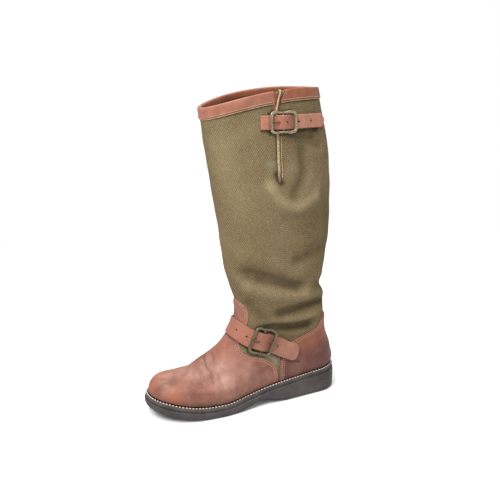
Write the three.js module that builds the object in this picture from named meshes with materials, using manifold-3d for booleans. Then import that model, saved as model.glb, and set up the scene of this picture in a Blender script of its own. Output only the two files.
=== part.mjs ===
// A pull-on field boot for the left foot: leather vamp and counter, cloth shaft, two buckled straps.
// Millimetres, +Z up, the toe along -Y and the outer side of the foot along +X.
// The origin is on the floor under the middle of the heel.
import * as THREE from "three";
import Module from "manifold-3d";

const wasm = await Module();
wasm.setup();

// Driving dimensions of the sole
const FOOT_LENGTH = 312;
const BALL_WIDTH = 107.7;
const WAIST_WIDTH = 77.5;
const HEEL_WIDTH = 79.2;
const TOE_SWING = 9.6;
const HEEL_STACK = 40;
const SOLE_THICKNESS = 17.6;
const TOE_SPRING = 15;
const ARCH_RISE = 7.6;
const SOLE_BEVEL = 5;
const WELT_THICKNESS = 5;
const WELT_INSET = 1.2;
const WELT_CHAMFER = 0.9;
const FEATHER_INSET = 7;
const WELT_LEDGE = 0.7;
const INSOLE_RISE = 1.5;
const INSOLE_ROUND = 1;
const GROOVE_HEIGHT = 1.6;
const GROOVE_DEPTH = 2;
const SIDE_FLARE = 0.4;
const HEEL_CENTRE = 46;

// Driving dimensions of the upper
const ANKLE_RISE = 110;
const SHAFT_RISE = 323;
const COLLAR_DROP = 26;
const COLLAR_CROWN = 9;
const CALF_LENGTH = 184;
const CALF_WIDTH = 100;
const UPPER_WALL = 2.2;
const LEATHER = 1.8;
const BAND_WIDTH = 14.5;
const BAND_TURN_IN = 9;
const BAND_THICKNESS = 1.5;
const PIPING_WIDTH = 3.8;
const PIPING_THICKNESS = 1.4;
const PIPING_LENGTH = 128;

// Driving dimensions of the straps and buckles
const TOP_STRAP_WIDTH = 20;
const ANKLE_STRAP_WIDTH = 28;
const STRAP_THICKNESS = 1.9;
const STRAP_SEAT = 2.9;
const CHAPE_THICKNESS = 1.6;
const CHAPE_INSET = 0.5;
const TOP_BUCKLE_LENGTH = 41;
const ANKLE_BUCKLE_LENGTH = 34;
const BUCKLE_TO_STRAP = 1.56;
const BAR_RADIUS = 1.6;
const BAR_DIP = 1.2;
const HUMP_CLEARANCE = 1.5;
const STRAP_RAMP = 12;
const PRONG_RADIUS = 0.8;
const PRONG_OVERHANG = 1.8;
const HOLE_RADIUS = 1.4;
const TOP_HOLE_PITCH = 21;
const ANKLE_HOLE_PITCH = 17;

const GAP = 0.3;

// Where the widths change along the foot and how round the ends are, as shares of a section's length
const WAIST_AT = 0.42;
const OUTER_BALL_AT = 0.7;
const INNER_BALL_AT = 0.76;
const OUTER_BALL_SHARE = 0.512;
const OUTER_WAIST_SHARE = 0.561;
const HEEL_CAP = 0.13;
const TOE_CAP = 0.24;
const CAP_POWER = 2.2;
const SWING_FROM = 0.35;

// The side of the sole: lift of the heel, spring of the toe and rise of the arch along its length
const SIDE = [
  { at: 0.0, lift: 1.0, spring: 0.0, arch: 0.0 },
  { at: 0.19, lift: 0.8, spring: 0.0, arch: 0.0 },
  { at: 0.31, lift: 0.68, spring: 0.0, arch: 0.0 },
  { at: 0.335, lift: 0.65, spring: 0.0, arch: 0.18 },
  { at: 0.4, lift: 0.55, spring: 0.0, arch: 1.0 },
  { at: 0.48, lift: 0.36, spring: 0.0, arch: 0.45 },
  { at: 0.54, lift: 0.24, spring: 0.0, arch: 0.0 },
  { at: 0.66, lift: 0.0, spring: 0.0, arch: 0.0 },
  { at: 0.72, lift: 0.0, spring: 0.0, arch: 0.0 },
  { at: 0.8, lift: 0.0, spring: 0.15, arch: 0.0 },
  { at: 0.865, lift: 0.0, spring: 0.39, arch: 0.0 },
  { at: 0.93, lift: 0.0, spring: 0.69, arch: 0.0 },
  { at: 1.0, lift: 0.0, spring: 1.0, arch: 0.0 },
];

// Sections of the foot: ends as shares of the foot's length, heights as shares of the ankle's rise
// above the sole, widths as shares of the widths of heel, waist and ball
const FOOT = [
  {
    at: 0.05, back: 0.013, backUp: 0.1, tip: 0.9705, tipUp: 0.085,
    heelOut: 0.448, waistOut: 0.503, ballOut: 0.474, heelIn: 0.448, waistIn: 0.387, ballIn: 0.446,
    swing: 1.0, follow: 1.0, heelCap: 0.14, toeCap: 0.25,
  },
  {
    at: 0.1, back: 0.019, backUp: 0.21, tip: 0.9503, tipUp: 0.16,
    heelOut: 0.454, waistOut: 0.503, ballOut: 0.474, heelIn: 0.454, waistIn: 0.4, ballIn: 0.436,
    swing: 0.94, follow: 0.95, heelCap: 0.15, toeCap: 0.27,
  },
  {
    at: 0.15, back: 0.029, backUp: 0.32, tip: 0.9087, tipUp: 0.178,
    heelOut: 0.454, waistOut: 0.49, ballOut: 0.446, heelIn: 0.454, waistIn: 0.413, ballIn: 0.409,
    swing: 0.83, follow: 0.9, heelCap: 0.16, toeCap: 0.3,
  },
  {
    at: 0.21, back: 0.045, backUp: 0.455, tip: 0.8253, tipUp: 0.185,
    heelOut: 0.442, waistOut: 0.465, ballOut: 0.399, heelIn: 0.442, waistIn: 0.413, ballIn: 0.371,
    swing: 0.73, follow: 0.7, heelCap: 0.2, toeCap: 0.34,
  },
  {
    at: 0.27, back: 0.053, backUp: 0.58, tip: 0.7333, tipUp: 0.312,
    heelOut: 0.429, waistOut: 0.439, ballOut: 0.353, heelIn: 0.429, waistIn: 0.413, ballIn: 0.344,
    swing: 0.52, follow: 0.5, heelCap: 0.26, toeCap: 0.38,
  },
  {
    at: 0.33, back: 0.058, backUp: 0.71, tip: 0.641, tipUp: 0.466,
    heelOut: 0.429, waistOut: 0.439, ballOut: 0.334, heelIn: 0.429, waistIn: 0.426, ballIn: 0.334,
    swing: 0.31, follow: 0.35, heelCap: 0.32, toeCap: 0.42,
  },
  {
    at: 0.39, back: 0.0593, backUp: 0.855, tip: 0.577, tipUp: 0.68,
    heelOut: 0.442, waistOut: 0.465, ballOut: 0.344, heelIn: 0.442, waistIn: 0.452, ballIn: 0.344,
    swing: 0.1, follow: 0.2, heelCap: 0.4, toeCap: 0.46,
  },
  {
    at: 0.45, back: 0.063, backUp: 1.0, tip: 0.5385, tipUp: 0.917,
    heelOut: 0.467, waistOut: 0.503, ballOut: 0.362, heelIn: 0.467, waistIn: 0.503, ballIn: 0.362,
    swing: 0.0, follow: 0.1, heelCap: 0.46, toeCap: 0.5,
  },
];

// Sections of the shaft: the back as a share of the foot's length, heights of the back as shares of
// the shaft's rise, the rest as shares of the calf's length and width, the collar's drop and crown
const SHAFT = [
  { at: 0.52, back: 0.0737, up: 0.074, length: 0.793, drop: 0.39, width: 0.86, crown: 0 },
  { at: 0.6, back: 0.0641, up: 0.192, length: 0.88, drop: 0.46, width: 0.92, crown: 0 },
  { at: 0.69, back: 0.0458, up: 0.347, length: 0.954, drop: 0.615, width: 0.98, crown: 0 },
  { at: 0.78, back: 0.0449, up: 0.52, length: 0.997, drop: 0.77, width: 1.0, crown: 0 },
  { at: 0.87, back: 0.0558, up: 0.706, length: 1.034, drop: 0.9, width: 0.96, crown: 0.2 },
  { at: 0.94, back: 0.0865, up: 0.861, length: 1.026, drop: 0.99, width: 0.9, crown: 0.5 },
  { at: 1.0, back: 0.1218, up: 1.0, length: 1.0, drop: 1.0, width: 0.84, crown: 1.0 },
];

// How far each leather overlay reaches round the boot, in degrees from its middle, by height
const VAMP = [
  { rise: 0.004, reach: 105.2 },
  { rise: 0.063, reach: 103.2 },
  { rise: 0.104, reach: 101.4 },
  { rise: 0.159, reach: 96.8 },
  { rise: 0.221, reach: 87.4 },
  { rise: 0.259, reach: 76.6 },
  { rise: 0.286, reach: 64.8 },
  { rise: 0.339, reach: 42.8 },
  { rise: 0.38, reach: 31 },
  { rise: 0.45, reach: 29.5 },
  { rise: 0.487, reach: 26 },
  { rise: 0.508, reach: 18 },
  { rise: 0.52, reach: 5 },
];
const COUNTER = [
  { rise: 0.004, reach: 73.6 },
  { rise: 0.112, reach: 74.6 },
  { rise: 0.22, reach: 76 },
  { rise: 0.266, reach: 73.5 },
  { rise: 0.284, reach: 68 },
  { rise: 0.295, reach: 59 },
  { rise: 0.302, reach: 47 },
  { rise: 0.318, reach: 38.4 },
  { rise: 0.34, reach: 33 },
  { rise: 0.352, reach: 16 },
];

// The piping that covers the gusset's edge, and the middle lines of the straps
const PIPING = [
  { turn: 84, rise: 0.84 },
  { turn: 85.8, rise: 0.884 },
  { turn: 88.6, rise: 0.926 },
  { turn: 90.3, rise: 0.955 },
  { turn: 91.4, rise: 0.975 },
  { turn: 93.6, rise: 1.0 },
];
const TOP_STRAP = [
  { turn: 73, rise: 0.956 },
  { turn: 93.2, rise: 0.95 },
  { turn: 111, rise: 0.946 },
  { turn: 136, rise: 0.942 },
  { turn: 150, rise: 0.94 },
];
const ANKLE_STRAP = [
  { turn: -112, rise: 0.22 },
  { turn: -85, rise: 0.3 },
  { turn: -63, rise: 0.357 },
  { turn: -38, rise: 0.395 },
  { turn: -14, rise: 0.418 },
  { turn: 14, rise: 0.415 },
  { turn: 38, rise: 0.392 },
  { turn: 65.2, rise: 0.353 },
  { turn: 85, rise: 0.309 },
  { turn: 104, rise: 0.24 },
  { turn: 122, rise: 0.175 },
];
const TOP_STRAP_BUCKLE_ROW = 1;
const ANKLE_STRAP_BUCKLE_ROW = 7;
const PIPING_RIM_ROW = 5;

// Along each strap, measured from the middle of its buckle
const TOP_STRAP_START = -33;
const TOP_STRAP_END = 74;
const TOP_FIRST_HOLE = 4;
const ANKLE_STRAP_END = 65;
const ANKLE_FIRST_HOLE = -42;
const CHAPE_PAST_BUCKLE = 14;
const TAIL_LIFT = 3;
const TOP_TIP = 7;
const ANKLE_TIP = 9;

// The collar band stays open where the gusset folds
const BAND_OPEN_FROM = 87.5;
const BAND_OPEN_TO = 97;

// Below this rise the leather stands straight up from the welt
const WELT_ZONE = 0.05;

// Mesh steps
const SOLE_STEPS = 56;
const AROUND = 40;
const OUTER_ROWS = 28;
const INNER_ROWS = 8;
const OVERLAY_STEP = 0.036;
const VAMP_COLUMNS = 16;
const COUNTER_COLUMNS = 10;
const STRAP_STEP = 7;
const HUMP_STEPS = 10;

const smooth = (t) => {
  const s = Math.min(Math.max(t, 0), 1);
  return s * s * (3 - 2 * s);
};
const mix = (a, b, t) => a + (b - a) * t;
const spread = (from, to, steps) => Array.from({ length: steps + 1 }, (_, k) => mix(from, to, k / steps));
const radians = (degrees) => (degrees * Math.PI) / 180;
const filledIn = (stops, step) => [
  stops[0],
  ...stops.slice(1).flatMap((stop, i) => {
    const steps = Math.ceil((stop - stops[i]) / step);
    return spread(stops[i], stop, steps).slice(1);
  }),
];
const column = (rows, name) => rows.map((row) => row[name]);

// A curve through the points of a table that never swings past them
function steadyCurve(xs, ys) {
  const n = xs.length;
  const step = [];
  const slope = [];
  for (let i = 0; i < n - 1; i++) {
    step.push(xs[i + 1] - xs[i]);
    slope.push((ys[i + 1] - ys[i]) / step[i]);
  }
  const tangent = [slope[0]];
  for (let i = 1; i < n - 1; i++) {
    const before = 2 * step[i] + step[i - 1];
    const after = step[i] + 2 * step[i - 1];
    const turns = slope[i - 1] * slope[i] <= 0;
    tangent.push(turns ? 0 : (before + after) / (before / slope[i - 1] + after / slope[i]));
  }
  tangent.push(slope[n - 2]);
  return (x) => {
    let i = 0;
    while (i < n - 2 && x > xs[i + 1]) i++;
    const t = Math.min(Math.max((x - xs[i]) / step[i], 0), 1);
    const rise = step[i] * ((t - 2 * t * t + t ** 3) * tangent[i] + (t ** 3 - t * t) * tangent[i + 1]);
    return mix(ys[i], ys[i + 1], smooth(t)) + rise;
  };
}

// A curve through the points of a table with an even bend, for the lines of toe, instep and back
function fairCurve(xs, ys) {
  const n = xs.length;
  const bend = new Array(n).fill(0);
  const share = new Array(n).fill(0);
  for (let i = 1; i < n - 1; i++) {
    const before = xs[i] - xs[i - 1];
    const after = xs[i + 1] - xs[i];
    const pull = (ys[i + 1] - ys[i]) / after - (ys[i] - ys[i - 1]) / before;
    const pivot = 2 * (before + after) - before * share[i - 1];
    share[i] = after / pivot;
    bend[i] = (6 * pull - before * bend[i - 1]) / pivot;
  }
  for (let i = n - 2; i > 0; i--) bend[i] -= share[i] * bend[i + 1];
  return (x) => {
    let i = 0;
    while (i < n - 2 && x > xs[i + 1]) i++;
    const step = xs[i + 1] - xs[i];
    const t = Math.min(Math.max((x - xs[i]) / step, 0), 1);
    const bow = (step * step) / 6;
    const fall = ((1 - t) ** 3 - (1 - t)) * bend[i] + (t ** 3 - t) * bend[i + 1];
    return mix(ys[i], ys[i + 1], t) + bow * fall;
  };
}

// Solids

// A closed surface from shared points and triangles, as a manifold solid
function solidOf(points, triangles) {
  const vertProperties = new Float32Array(points.length * 3);
  points.forEach((p, i) => vertProperties.set([p.x, p.y, p.z], 3 * i));
  const triVerts = new Uint32Array(triangles.flat());
  const solid = new wasm.Manifold(new wasm.Mesh({ numProp: 3, vertProperties, triVerts }));
  if (solid.volume() > 0) return solid;
  const turned = new Uint32Array(triangles.flatMap(([a, b, c]) => [a, c, b]));
  return new wasm.Manifold(new wasm.Mesh({ numProp: 3, vertProperties, triVerts: turned }));
}

// Quads between neighbouring rows of points, where each row may close on itself
function bridge(first, second, count, closed) {
  const triangles = [];
  for (let i = 0; i < (closed ? count : count - 1); i++) {
    const next = (i + 1) % count;
    triangles.push([first + i, first + next, second + next]);
    triangles.push([first + i, second + next, second + i]);
  }
  return triangles;
}

// A body whose section is swept round a loop: the last ring meets the first
function loopSolid(rings) {
  const count = rings[0].length;
  const triangles = rings.flatMap((ring, k) =>
    bridge(k * count, ((k + 1) % rings.length) * count, count, true),
  );
  return solidOf(rings.flat(), triangles);
}

// A stack of rings closed by flat-laid strips from side to side, as a sole is
function stackSolid(rings) {
  const count = rings[0].length;
  const triangles = [];
  for (let k = 0; k < rings.length - 1; k++) {
    triangles.push(...bridge(k * count, (k + 1) * count, count, true));
  }
  const top = (rings.length - 1) * count;
  for (let i = 0; i < count / 2; i++) {
    const [a, b, c, d] = [i, i + 1, (count - i - 1) % count, (count - i) % count];
    if (i > 0) triangles.push([a, d, b], [top + a, top + b, top + d]);
    if (i < count / 2 - 1) triangles.push([b, d, c], [top + b, top + c, top + d]);
  }
  return solidOf(rings.flat(), triangles);
}

// A slab between two grids of points of the same size
function slabSolid(under, over) {
  const rows = under.length;
  const count = under[0].length;
  const half = rows * count;
  const triangles = [];
  for (let j = 0; j < rows - 1; j++) {
    triangles.push(...bridge(half + j * count, half + (j + 1) * count, count, false));
    bridge(j * count, (j + 1) * count, count, false).forEach(([a, b, c]) => triangles.push([a, c, b]));
  }
  const edge = [];
  for (let i = 0; i < count; i++) edge.push(i);
  for (let j = 1; j < rows; j++) edge.push(j * count + count - 1);
  for (let i = count - 2; i >= 0; i--) edge.push((rows - 1) * count + i);
  for (let j = rows - 2; j > 0; j--) edge.push(j * count);
  edge.forEach((a, k) => {
    const b = edge[(k + 1) % edge.length];
    triangles.push([a, b, half + b], [a, half + b, half + a]);
  });
  return solidOf([...under.flat(), ...over.flat()], triangles);
}

// A round bar along a path of points, each with the direction that its section stands in
function barSolid(path, radii, closed, sides = 6) {
  const rings = path.map((point, k) => {
    const before = path[closed ? (k + path.length - 1) % path.length : Math.max(k - 1, 0)];
    const after = path[closed ? (k + 1) % path.length : Math.min(k + 1, path.length - 1)];
    const along = after.place.clone().sub(before.place).normalize();
    const side = along.clone().cross(point.up).normalize();
    const up = side.clone().cross(along);
    return Array.from({ length: sides }, (_, i) => {
      const angle = (2 * Math.PI * (i + 0.5)) / sides;
      return point.place
        .clone()
        .addScaledVector(side, radii[k] * Math.cos(angle))
        .addScaledVector(up, radii[k] * Math.sin(angle));
    });
  });
  if (closed) return loopSolid(rings);
  const triangles = [];
  for (let k = 0; k < rings.length - 1; k++) {
    triangles.push(...bridge(k * sides, (k + 1) * sides, sides, true));
  }
  const last = (rings.length - 1) * sides;
  for (let i = 1; i < sides - 1; i++) {
    triangles.push([0, i + 1, i], [last, last + i, last + i + 1]);
  }
  return solidOf(rings.flat(), triangles);
}

// The sole's forms

const sideAt = column(SIDE, "at");
const liftOf = steadyCurve(sideAt, column(SIDE, "lift"));
const springOf = steadyCurve(sideAt, column(SIDE, "spring"));
const archOf = steadyCurve(sideAt, column(SIDE, "arch"));

// Height of the welt's top and of the tread at a distance forward of the heel's back
function soleTop(forward) {
  const at = forward / FOOT_LENGTH;
  return SOLE_THICKNESS + (HEEL_STACK - SOLE_THICKNESS) * liftOf(at) + TOE_SPRING * springOf(at);
}
function soleUnder(forward) {
  const at = forward / FOOT_LENGTH;
  return TOE_SPRING * springOf(at) + ARCH_RISE * archOf(at);
}

// Half width of a rounded, waisted section at a share of its length
function halfWidth(share, heel, waist, ball, heelCap, toeCap, ballAt) {
  const heelEnd = Math.min(share / heelCap, 1);
  const toeEnd = Math.min((1 - share) / toeCap, 1);
  const roundHeel = (1 - (1 - heelEnd) ** CAP_POWER) ** (1 / CAP_POWER);
  const roundToe = (1 - (1 - toeEnd) ** CAP_POWER) ** (1 / CAP_POWER);
  const heelFrom = 0.8 * heelCap;
  const toWaist = smooth((share - heelFrom) / (WAIST_AT - heelFrom));
  const toBall = smooth((share - WAIST_AT) / (ballAt - WAIST_AT));
  const side = share < WAIST_AT ? mix(heel, waist, toWaist) : mix(waist, ball, toBall);
  return side * roundHeel * roundToe;
}

// A point across and forward on the sole's outline, drawn in by an inset
function outline(angle, inset) {
  const share = (1 + Math.cos(angle)) / 2;
  const outer = Math.sin(angle) >= 0;
  const ball = BALL_WIDTH * (outer ? OUTER_BALL_SHARE : 1 - OUTER_BALL_SHARE) - inset;
  const waist = WAIST_WIDTH * (outer ? OUTER_WAIST_SHARE : 1 - OUTER_WAIST_SHARE) - inset;
  const heel = HEEL_WIDTH / 2 - inset;
  const ballAt = outer ? OUTER_BALL_AT : INNER_BALL_AT;
  const half = halfWidth(share, heel, waist, ball, HEEL_CAP, TOE_CAP, ballAt);
  return {
    across: (outer ? half : -half) - TOE_SWING * smooth((share - SWING_FROM) / (1 - SWING_FROM)),
    forward: mix(inset, FOOT_LENGTH - inset, share),
  };
}

// A ring on the sole's outline at a height that follows from the distance forward
function soleRing(inset, height) {
  return Array.from({ length: SOLE_STEPS }, (_, i) => {
    const { across, forward } = outline((2 * Math.PI * i) / SOLE_STEPS, inset);
    return new THREE.Vector3(across, HEEL_CENTRE - forward, height(forward));
  });
}

// The boot's surface: rings from the feather line up to the collar

const featherRow = {
  at: 0,
  back: FEATHER_INSET,
  backZ: HEEL_STACK,
  tip: FOOT_LENGTH - FEATHER_INSET,
  tipZ: SOLE_THICKNESS + TOE_SPRING,
  heelOut: HEEL_WIDTH / 2 - FEATHER_INSET,
  heelIn: HEEL_WIDTH / 2 - FEATHER_INSET,
  waistOut: WAIST_WIDTH * OUTER_WAIST_SHARE - FEATHER_INSET,
  waistIn: WAIST_WIDTH * (1 - OUTER_WAIST_SHARE) - FEATHER_INSET,
  ballOut: BALL_WIDTH * OUTER_BALL_SHARE - FEATHER_INSET,
  ballIn: BALL_WIDTH * (1 - OUTER_BALL_SHARE) - FEATHER_INSET,
  swing: TOE_SWING,
  follow: 1,
  heelCap: HEEL_CAP,
  toeCap: TOE_CAP,
  crown: 0,
};
const footRows = FOOT.map((row) => ({
  ...row,
  back: row.back * FOOT_LENGTH,
  backZ: HEEL_STACK + row.backUp * ANKLE_RISE,
  tip: row.tip * FOOT_LENGTH,
  tipZ: SOLE_THICKNESS + TOE_SPRING + row.tipUp * ANKLE_RISE,
  heelOut: row.heelOut * HEEL_WIDTH,
  heelIn: row.heelIn * HEEL_WIDTH,
  waistOut: row.waistOut * WAIST_WIDTH,
  waistIn: row.waistIn * WAIST_WIDTH,
  ballOut: row.ballOut * BALL_WIDTH,
  ballIn: row.ballIn * BALL_WIDTH,
  swing: row.swing * TOE_SWING,
  crown: 0,
}));
const shaftRows = SHAFT.map((row) => {
  const back = row.back * FOOT_LENGTH;
  const backZ = HEEL_STACK + ANKLE_RISE + row.up * SHAFT_RISE;
  const half = (row.width * CALF_WIDTH) / 2;
  return {
    at: row.at,
    back,
    backZ,
    tip: back + row.length * CALF_LENGTH,
    tipZ: backZ - row.drop * COLLAR_DROP,
    heelOut: half,
    heelIn: half,
    waistOut: half,
    waistIn: half,
    ballOut: half,
    ballIn: half,
    swing: 0,
    follow: 0,
    heelCap: 0.5,
    toeCap: 0.5,
    crown: row.crown * COLLAR_CROWN,
  };
});
const SECTIONS = [featherRow, ...footRows, ...shaftRows];
const FAIR_LINES = ["back", "backZ", "tip", "tipZ"];
const sectionCurves = {};
for (const name of Object.keys(featherRow)) {
  if (name === "at") continue;
  const curve = FAIR_LINES.includes(name) ? fairCurve : steadyCurve;
  sectionCurves[name] = curve(column(SECTIONS, "at"), column(SECTIONS, name));
}

// The point of the cloth's outer face at a turn from the front (radians, outer side first) and a rise
function facePoint(turn, rise) {
  const at = Math.min(Math.max(rise, 0), 1);
  const section = {};
  for (const name of Object.keys(sectionCurves)) section[name] = sectionCurves[name](at);
  const share = (1 + Math.cos(turn)) / 2;
  const outer = Math.sin(turn) >= 0;
  const half = outer
    ? halfWidth(share, section.heelOut, section.waistOut, section.ballOut,
      section.heelCap, section.toeCap, OUTER_BALL_AT)
    : halfWidth(share, section.heelIn, section.waistIn, section.ballIn,
      section.heelCap, section.toeCap, INNER_BALL_AT);
  const swing = section.swing * smooth((share - SWING_FROM) / (1 - SWING_FROM));
  const forward = mix(section.back, section.tip, share);
  const level = mix(section.backZ, section.tipZ, share) + section.crown * 4 * share * (1 - share);
  const sag = soleTop(forward) - mix(soleTop(section.back), soleTop(section.tip), share);
  return new THREE.Vector3(
    (outer ? half : -half) - swing,
    HEEL_CENTRE - forward,
    level + section.follow * sag + GAP,
  );
}

// The two directions along the surface and the one out of it
function faceFrame(turn, rise) {
  const turnStep = 0.01;
  const riseStep = 0.004;
  const low = Math.max(rise - riseStep, 0);
  const high = Math.min(rise + riseStep, 1);
  const round = facePoint(turn + turnStep, rise)
    .sub(facePoint(turn - turnStep, rise))
    .divideScalar(2 * turnStep);
  const up = facePoint(turn, high).sub(facePoint(turn, low)).divideScalar(high - low);
  return { round, up, out: round.clone().cross(up).normalize() };
}

// A point off the surface: positive is outside. Next to the welt it follows the sole's top.
function offFace(turn, rise, off) {
  const out = faceFrame(turn, rise).out;
  const freed = smooth(rise / WELT_ZONE);
  out.z *= freed;
  out.normalize();
  const base = facePoint(turn, rise);
  const point = base.clone().addScaledVector(out, off);
  point.z += (1 - freed) * (soleTop(HEEL_CENTRE - point.y) - soleTop(HEEL_CENTRE - base.y));
  return point;
}

function ringAt(rise, off) {
  return Array.from({ length: AROUND }, (_, i) => offFace((2 * Math.PI * i) / AROUND, rise, off));
}

// The whole boot filled in, its cloth grown by an offset: what the overlays are cut against
function filledForm(off) {
  const rings = Array.from({ length: OUTER_ROWS + 1 }, (_, j) => ringAt(j / OUTER_ROWS, off));
  const below = rings[0].map((point) => point.clone().setZ(point.z - WELT_THICKNESS));
  return stackSolid([below, ...rings]);
}
const CLOTH_FORM = filledForm(GAP);

// A leather skin, bounded row by row by how far it reaches to each side of its middle: a slab that
// starts inside the cloth is cut back to the cloth's grown form
function overlay(table, middle, columns, thickness) {
  const rises = column(table, "rise");
  const reachOf = steadyCurve(rises, column(table, "reach"));
  const under = [];
  const over = [];
  for (const rise of filledIn(rises, OVERLAY_STEP)) {
    const line = spread(middle - reachOf(rise), middle + reachOf(rise), columns).map(radians);
    under.push(line.map((turn) => offFace(turn, rise, -UPPER_WALL / 2)));
    over.push(line.map((turn) => offFace(turn, rise, GAP + thickness)));
  }
  return slabSolid(under, over).subtract(CLOTH_FORM);
}

// A line on the surface with its own coordinates: along it from one of its rows, across it and off it
function trackOf(table, zeroRow) {
  const index = table.map((_, i) => i);
  const turnOf = fairCurve(index, column(table, "turn"));
  const riseOf = fairCurve(index, column(table, "rise"));
  const spotAt = (u) => ({ turn: radians(turnOf(u)), rise: riseOf(u) });
  const steps = 24 * (table.length - 1);
  const us = Array.from({ length: steps + 1 }, (_, i) => ((table.length - 1) * i) / steps);
  const places = us.map((u) => facePoint(spotAt(u).turn, spotAt(u).rise));
  const lengths = [0];
  for (let i = 1; i <= steps; i++) lengths.push(lengths[i - 1] + places[i].distanceTo(places[i - 1]));
  const along = steadyCurve(lengths, us);
  const zero = lengths[24 * zeroRow];
  const point = (distance, across, off) => {
    let spot = spotAt(along(zero + distance));
    const ahead = spotAt(along(zero + distance + 1));
    const behind = spotAt(along(zero + distance - 1));
    const heading = facePoint(ahead.turn, ahead.rise).sub(facePoint(behind.turn, behind.rise));
    const side = faceFrame(spot.turn, spot.rise).out.cross(heading).normalize();
    const strides = 4;
    for (let k = 0; k < strides; k++) spot = stepAcross(spot, side, across / strides);
    const { out } = faceFrame(spot.turn, spot.rise);
    return { place: facePoint(spot.turn, spot.rise).addScaledVector(out, off), up: out };
  };
  return { point, start: -zero, end: lengths[steps] - zero };
}

// Moves a spot on the surface by a distance in a direction that lies nearly along the surface
function stepAcross(spot, direction, distance) {
  const { round, up } = faceFrame(spot.turn, spot.rise);
  const rr = round.dot(round);
  const uu = up.dot(up);
  const ru = round.dot(up);
  const dr = direction.dot(round) * distance;
  const du = direction.dot(up) * distance;
  const scale = rr * uu - ru * ru;
  return {
    turn: spot.turn + (dr * uu - du * ru) / scale,
    rise: spot.rise + (du * rr - dr * ru) / scale,
  };
}

// A strip through stations of a track: its height over the surface and its width change along it
function strip(track, stations, across, width, thickness, height) {
  const under = [];
  const over = [];
  for (const along of stations) {
    const half = width(along) / 2;
    const line = Array.from({ length: across + 1 }, (_, i) => half * mix(-1, 1, i / across));
    under.push(line.map((b) => track.point(along, b, height(along)).place));
    over.push(line.map((b) => track.point(along, b, height(along) + thickness).place));
  }
  return slabSolid(under, over);
}

// Sole, welt and insole

function outsole() {
  const top = (forward) => soleTop(forward) - WELT_THICKNESS - GAP;
  return stackSolid([
    soleRing(SOLE_BEVEL, soleUnder),
    soleRing(SOLE_BEVEL * 0.3, (f) => soleUnder(f) + SOLE_BEVEL * 0.4),
    soleRing(0, (f) => soleUnder(f) + SOLE_BEVEL),
    soleRing(SIDE_FLARE, (f) => top(f) - GROOVE_HEIGHT),
    soleRing(GROOVE_DEPTH, top),
  ]);
}

function welt() {
  const under = (forward) => soleTop(forward) - WELT_THICKNESS;
  const inner = FEATHER_INSET + UPPER_WALL + WELT_LEDGE;
  return loopSolid([
    soleRing(inner, under),
    soleRing(WELT_INSET + WELT_CHAMFER, under),
    soleRing(WELT_INSET, (f) => under(f) + WELT_CHAMFER),
    soleRing(WELT_INSET, (f) => soleTop(f) - WELT_CHAMFER),
    soleRing(WELT_INSET + WELT_CHAMFER, soleTop),
    soleRing(inner, soleTop),
  ]);
}

function insole() {
  const inset = FEATHER_INSET + UPPER_WALL + WELT_LEDGE + GAP;
  return stackSolid([
    soleRing(inset, (f) => soleTop(f) - WELT_THICKNESS),
    soleRing(inset, (f) => soleTop(f) + INSOLE_RISE - INSOLE_ROUND),
    soleRing(inset + INSOLE_ROUND, (f) => soleTop(f) + INSOLE_RISE),
  ]);
}

// Upper and its overlays

function upper() {
  const outer = Array.from({ length: OUTER_ROWS + 1 }, (_, j) => ringAt(j / OUTER_ROWS, 0));
  const inner = Array.from({ length: INNER_ROWS + 1 }, (_, j) => ringAt(1 - j / INNER_ROWS, -UPPER_WALL));
  return loopSolid([...outer, ...inner]);
}

function vamp() {
  return overlay(VAMP, 0, VAMP_COLUMNS, LEATHER);
}

function counter() {
  return overlay(COUNTER, 180, COUNTER_COLUMNS, LEATHER);
}

// A leather band folded over the collar's edge, from one side of the gusset round to the other
function collarBand() {
  const under = [];
  const over = [];
  const inside = -UPPER_WALL - GAP;
  const facet = 360 / AROUND;
  const turns = [BAND_OPEN_TO];
  for (let k = Math.ceil(BAND_OPEN_TO / facet + 0.2); k * facet < 360 + BAND_OPEN_FROM - 1; k++) {
    turns.push(k * facet);
  }
  turns.push(360 + BAND_OPEN_FROM);
  for (const turn of turns.map(radians)) {
    const perRise = faceFrame(turn, 1).up.length();
    const at = (below, off, lift) => {
      const point = offFace(turn, 1 - below / perRise, off);
      point.z += lift;
      return point;
    };
    under.push([
      at(BAND_WIDTH, GAP, 0),
      at(0, GAP, GAP),
      at(0, -UPPER_WALL / 2, GAP),
      at(0, inside, GAP),
      at(BAND_TURN_IN, inside, 0),
    ]);
    over.push([
      at(BAND_WIDTH, GAP + BAND_THICKNESS, 0),
      at(0, GAP + BAND_THICKNESS, 0),
      at(0, -UPPER_WALL / 2, GAP + BAND_THICKNESS),
      at(0, inside - BAND_THICKNESS, 0),
      at(BAND_TURN_IN, inside - BAND_THICKNESS, 0),
    ]);
  }
  return slabSolid(under, over);
}

// The folded edge of the gusset, from its bar tack up to the collar
function gussetPiping() {
  const track = trackOf(PIPING, PIPING_RIM_ROW);
  const width = () => PIPING_WIDTH;
  return strip(track, spread(-PIPING_LENGTH, -GAP, 16), 2, width, PIPING_THICKNESS, () => GAP);
}

// Straps and buckles

// Heights over the surface that the two fastenings share
const BAR_HEIGHT = GAP + CHAPE_THICKNESS + GAP + BAR_RADIUS;
const SIDE_BAR_HEIGHT = STRAP_SEAT + STRAP_THICKNESS + GAP + BAR_RADIUS;
const LOOP_RADIUS = BAR_RADIUS + GAP + CHAPE_THICKNESS / 2;
const HUMP = BAR_HEIGHT + LOOP_RADIUS + CHAPE_THICKNESS / 2 + GAP - STRAP_SEAT;

const ankleTrack = trackOf(ANKLE_STRAP, ANKLE_STRAP_BUCKLE_ROW);

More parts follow.
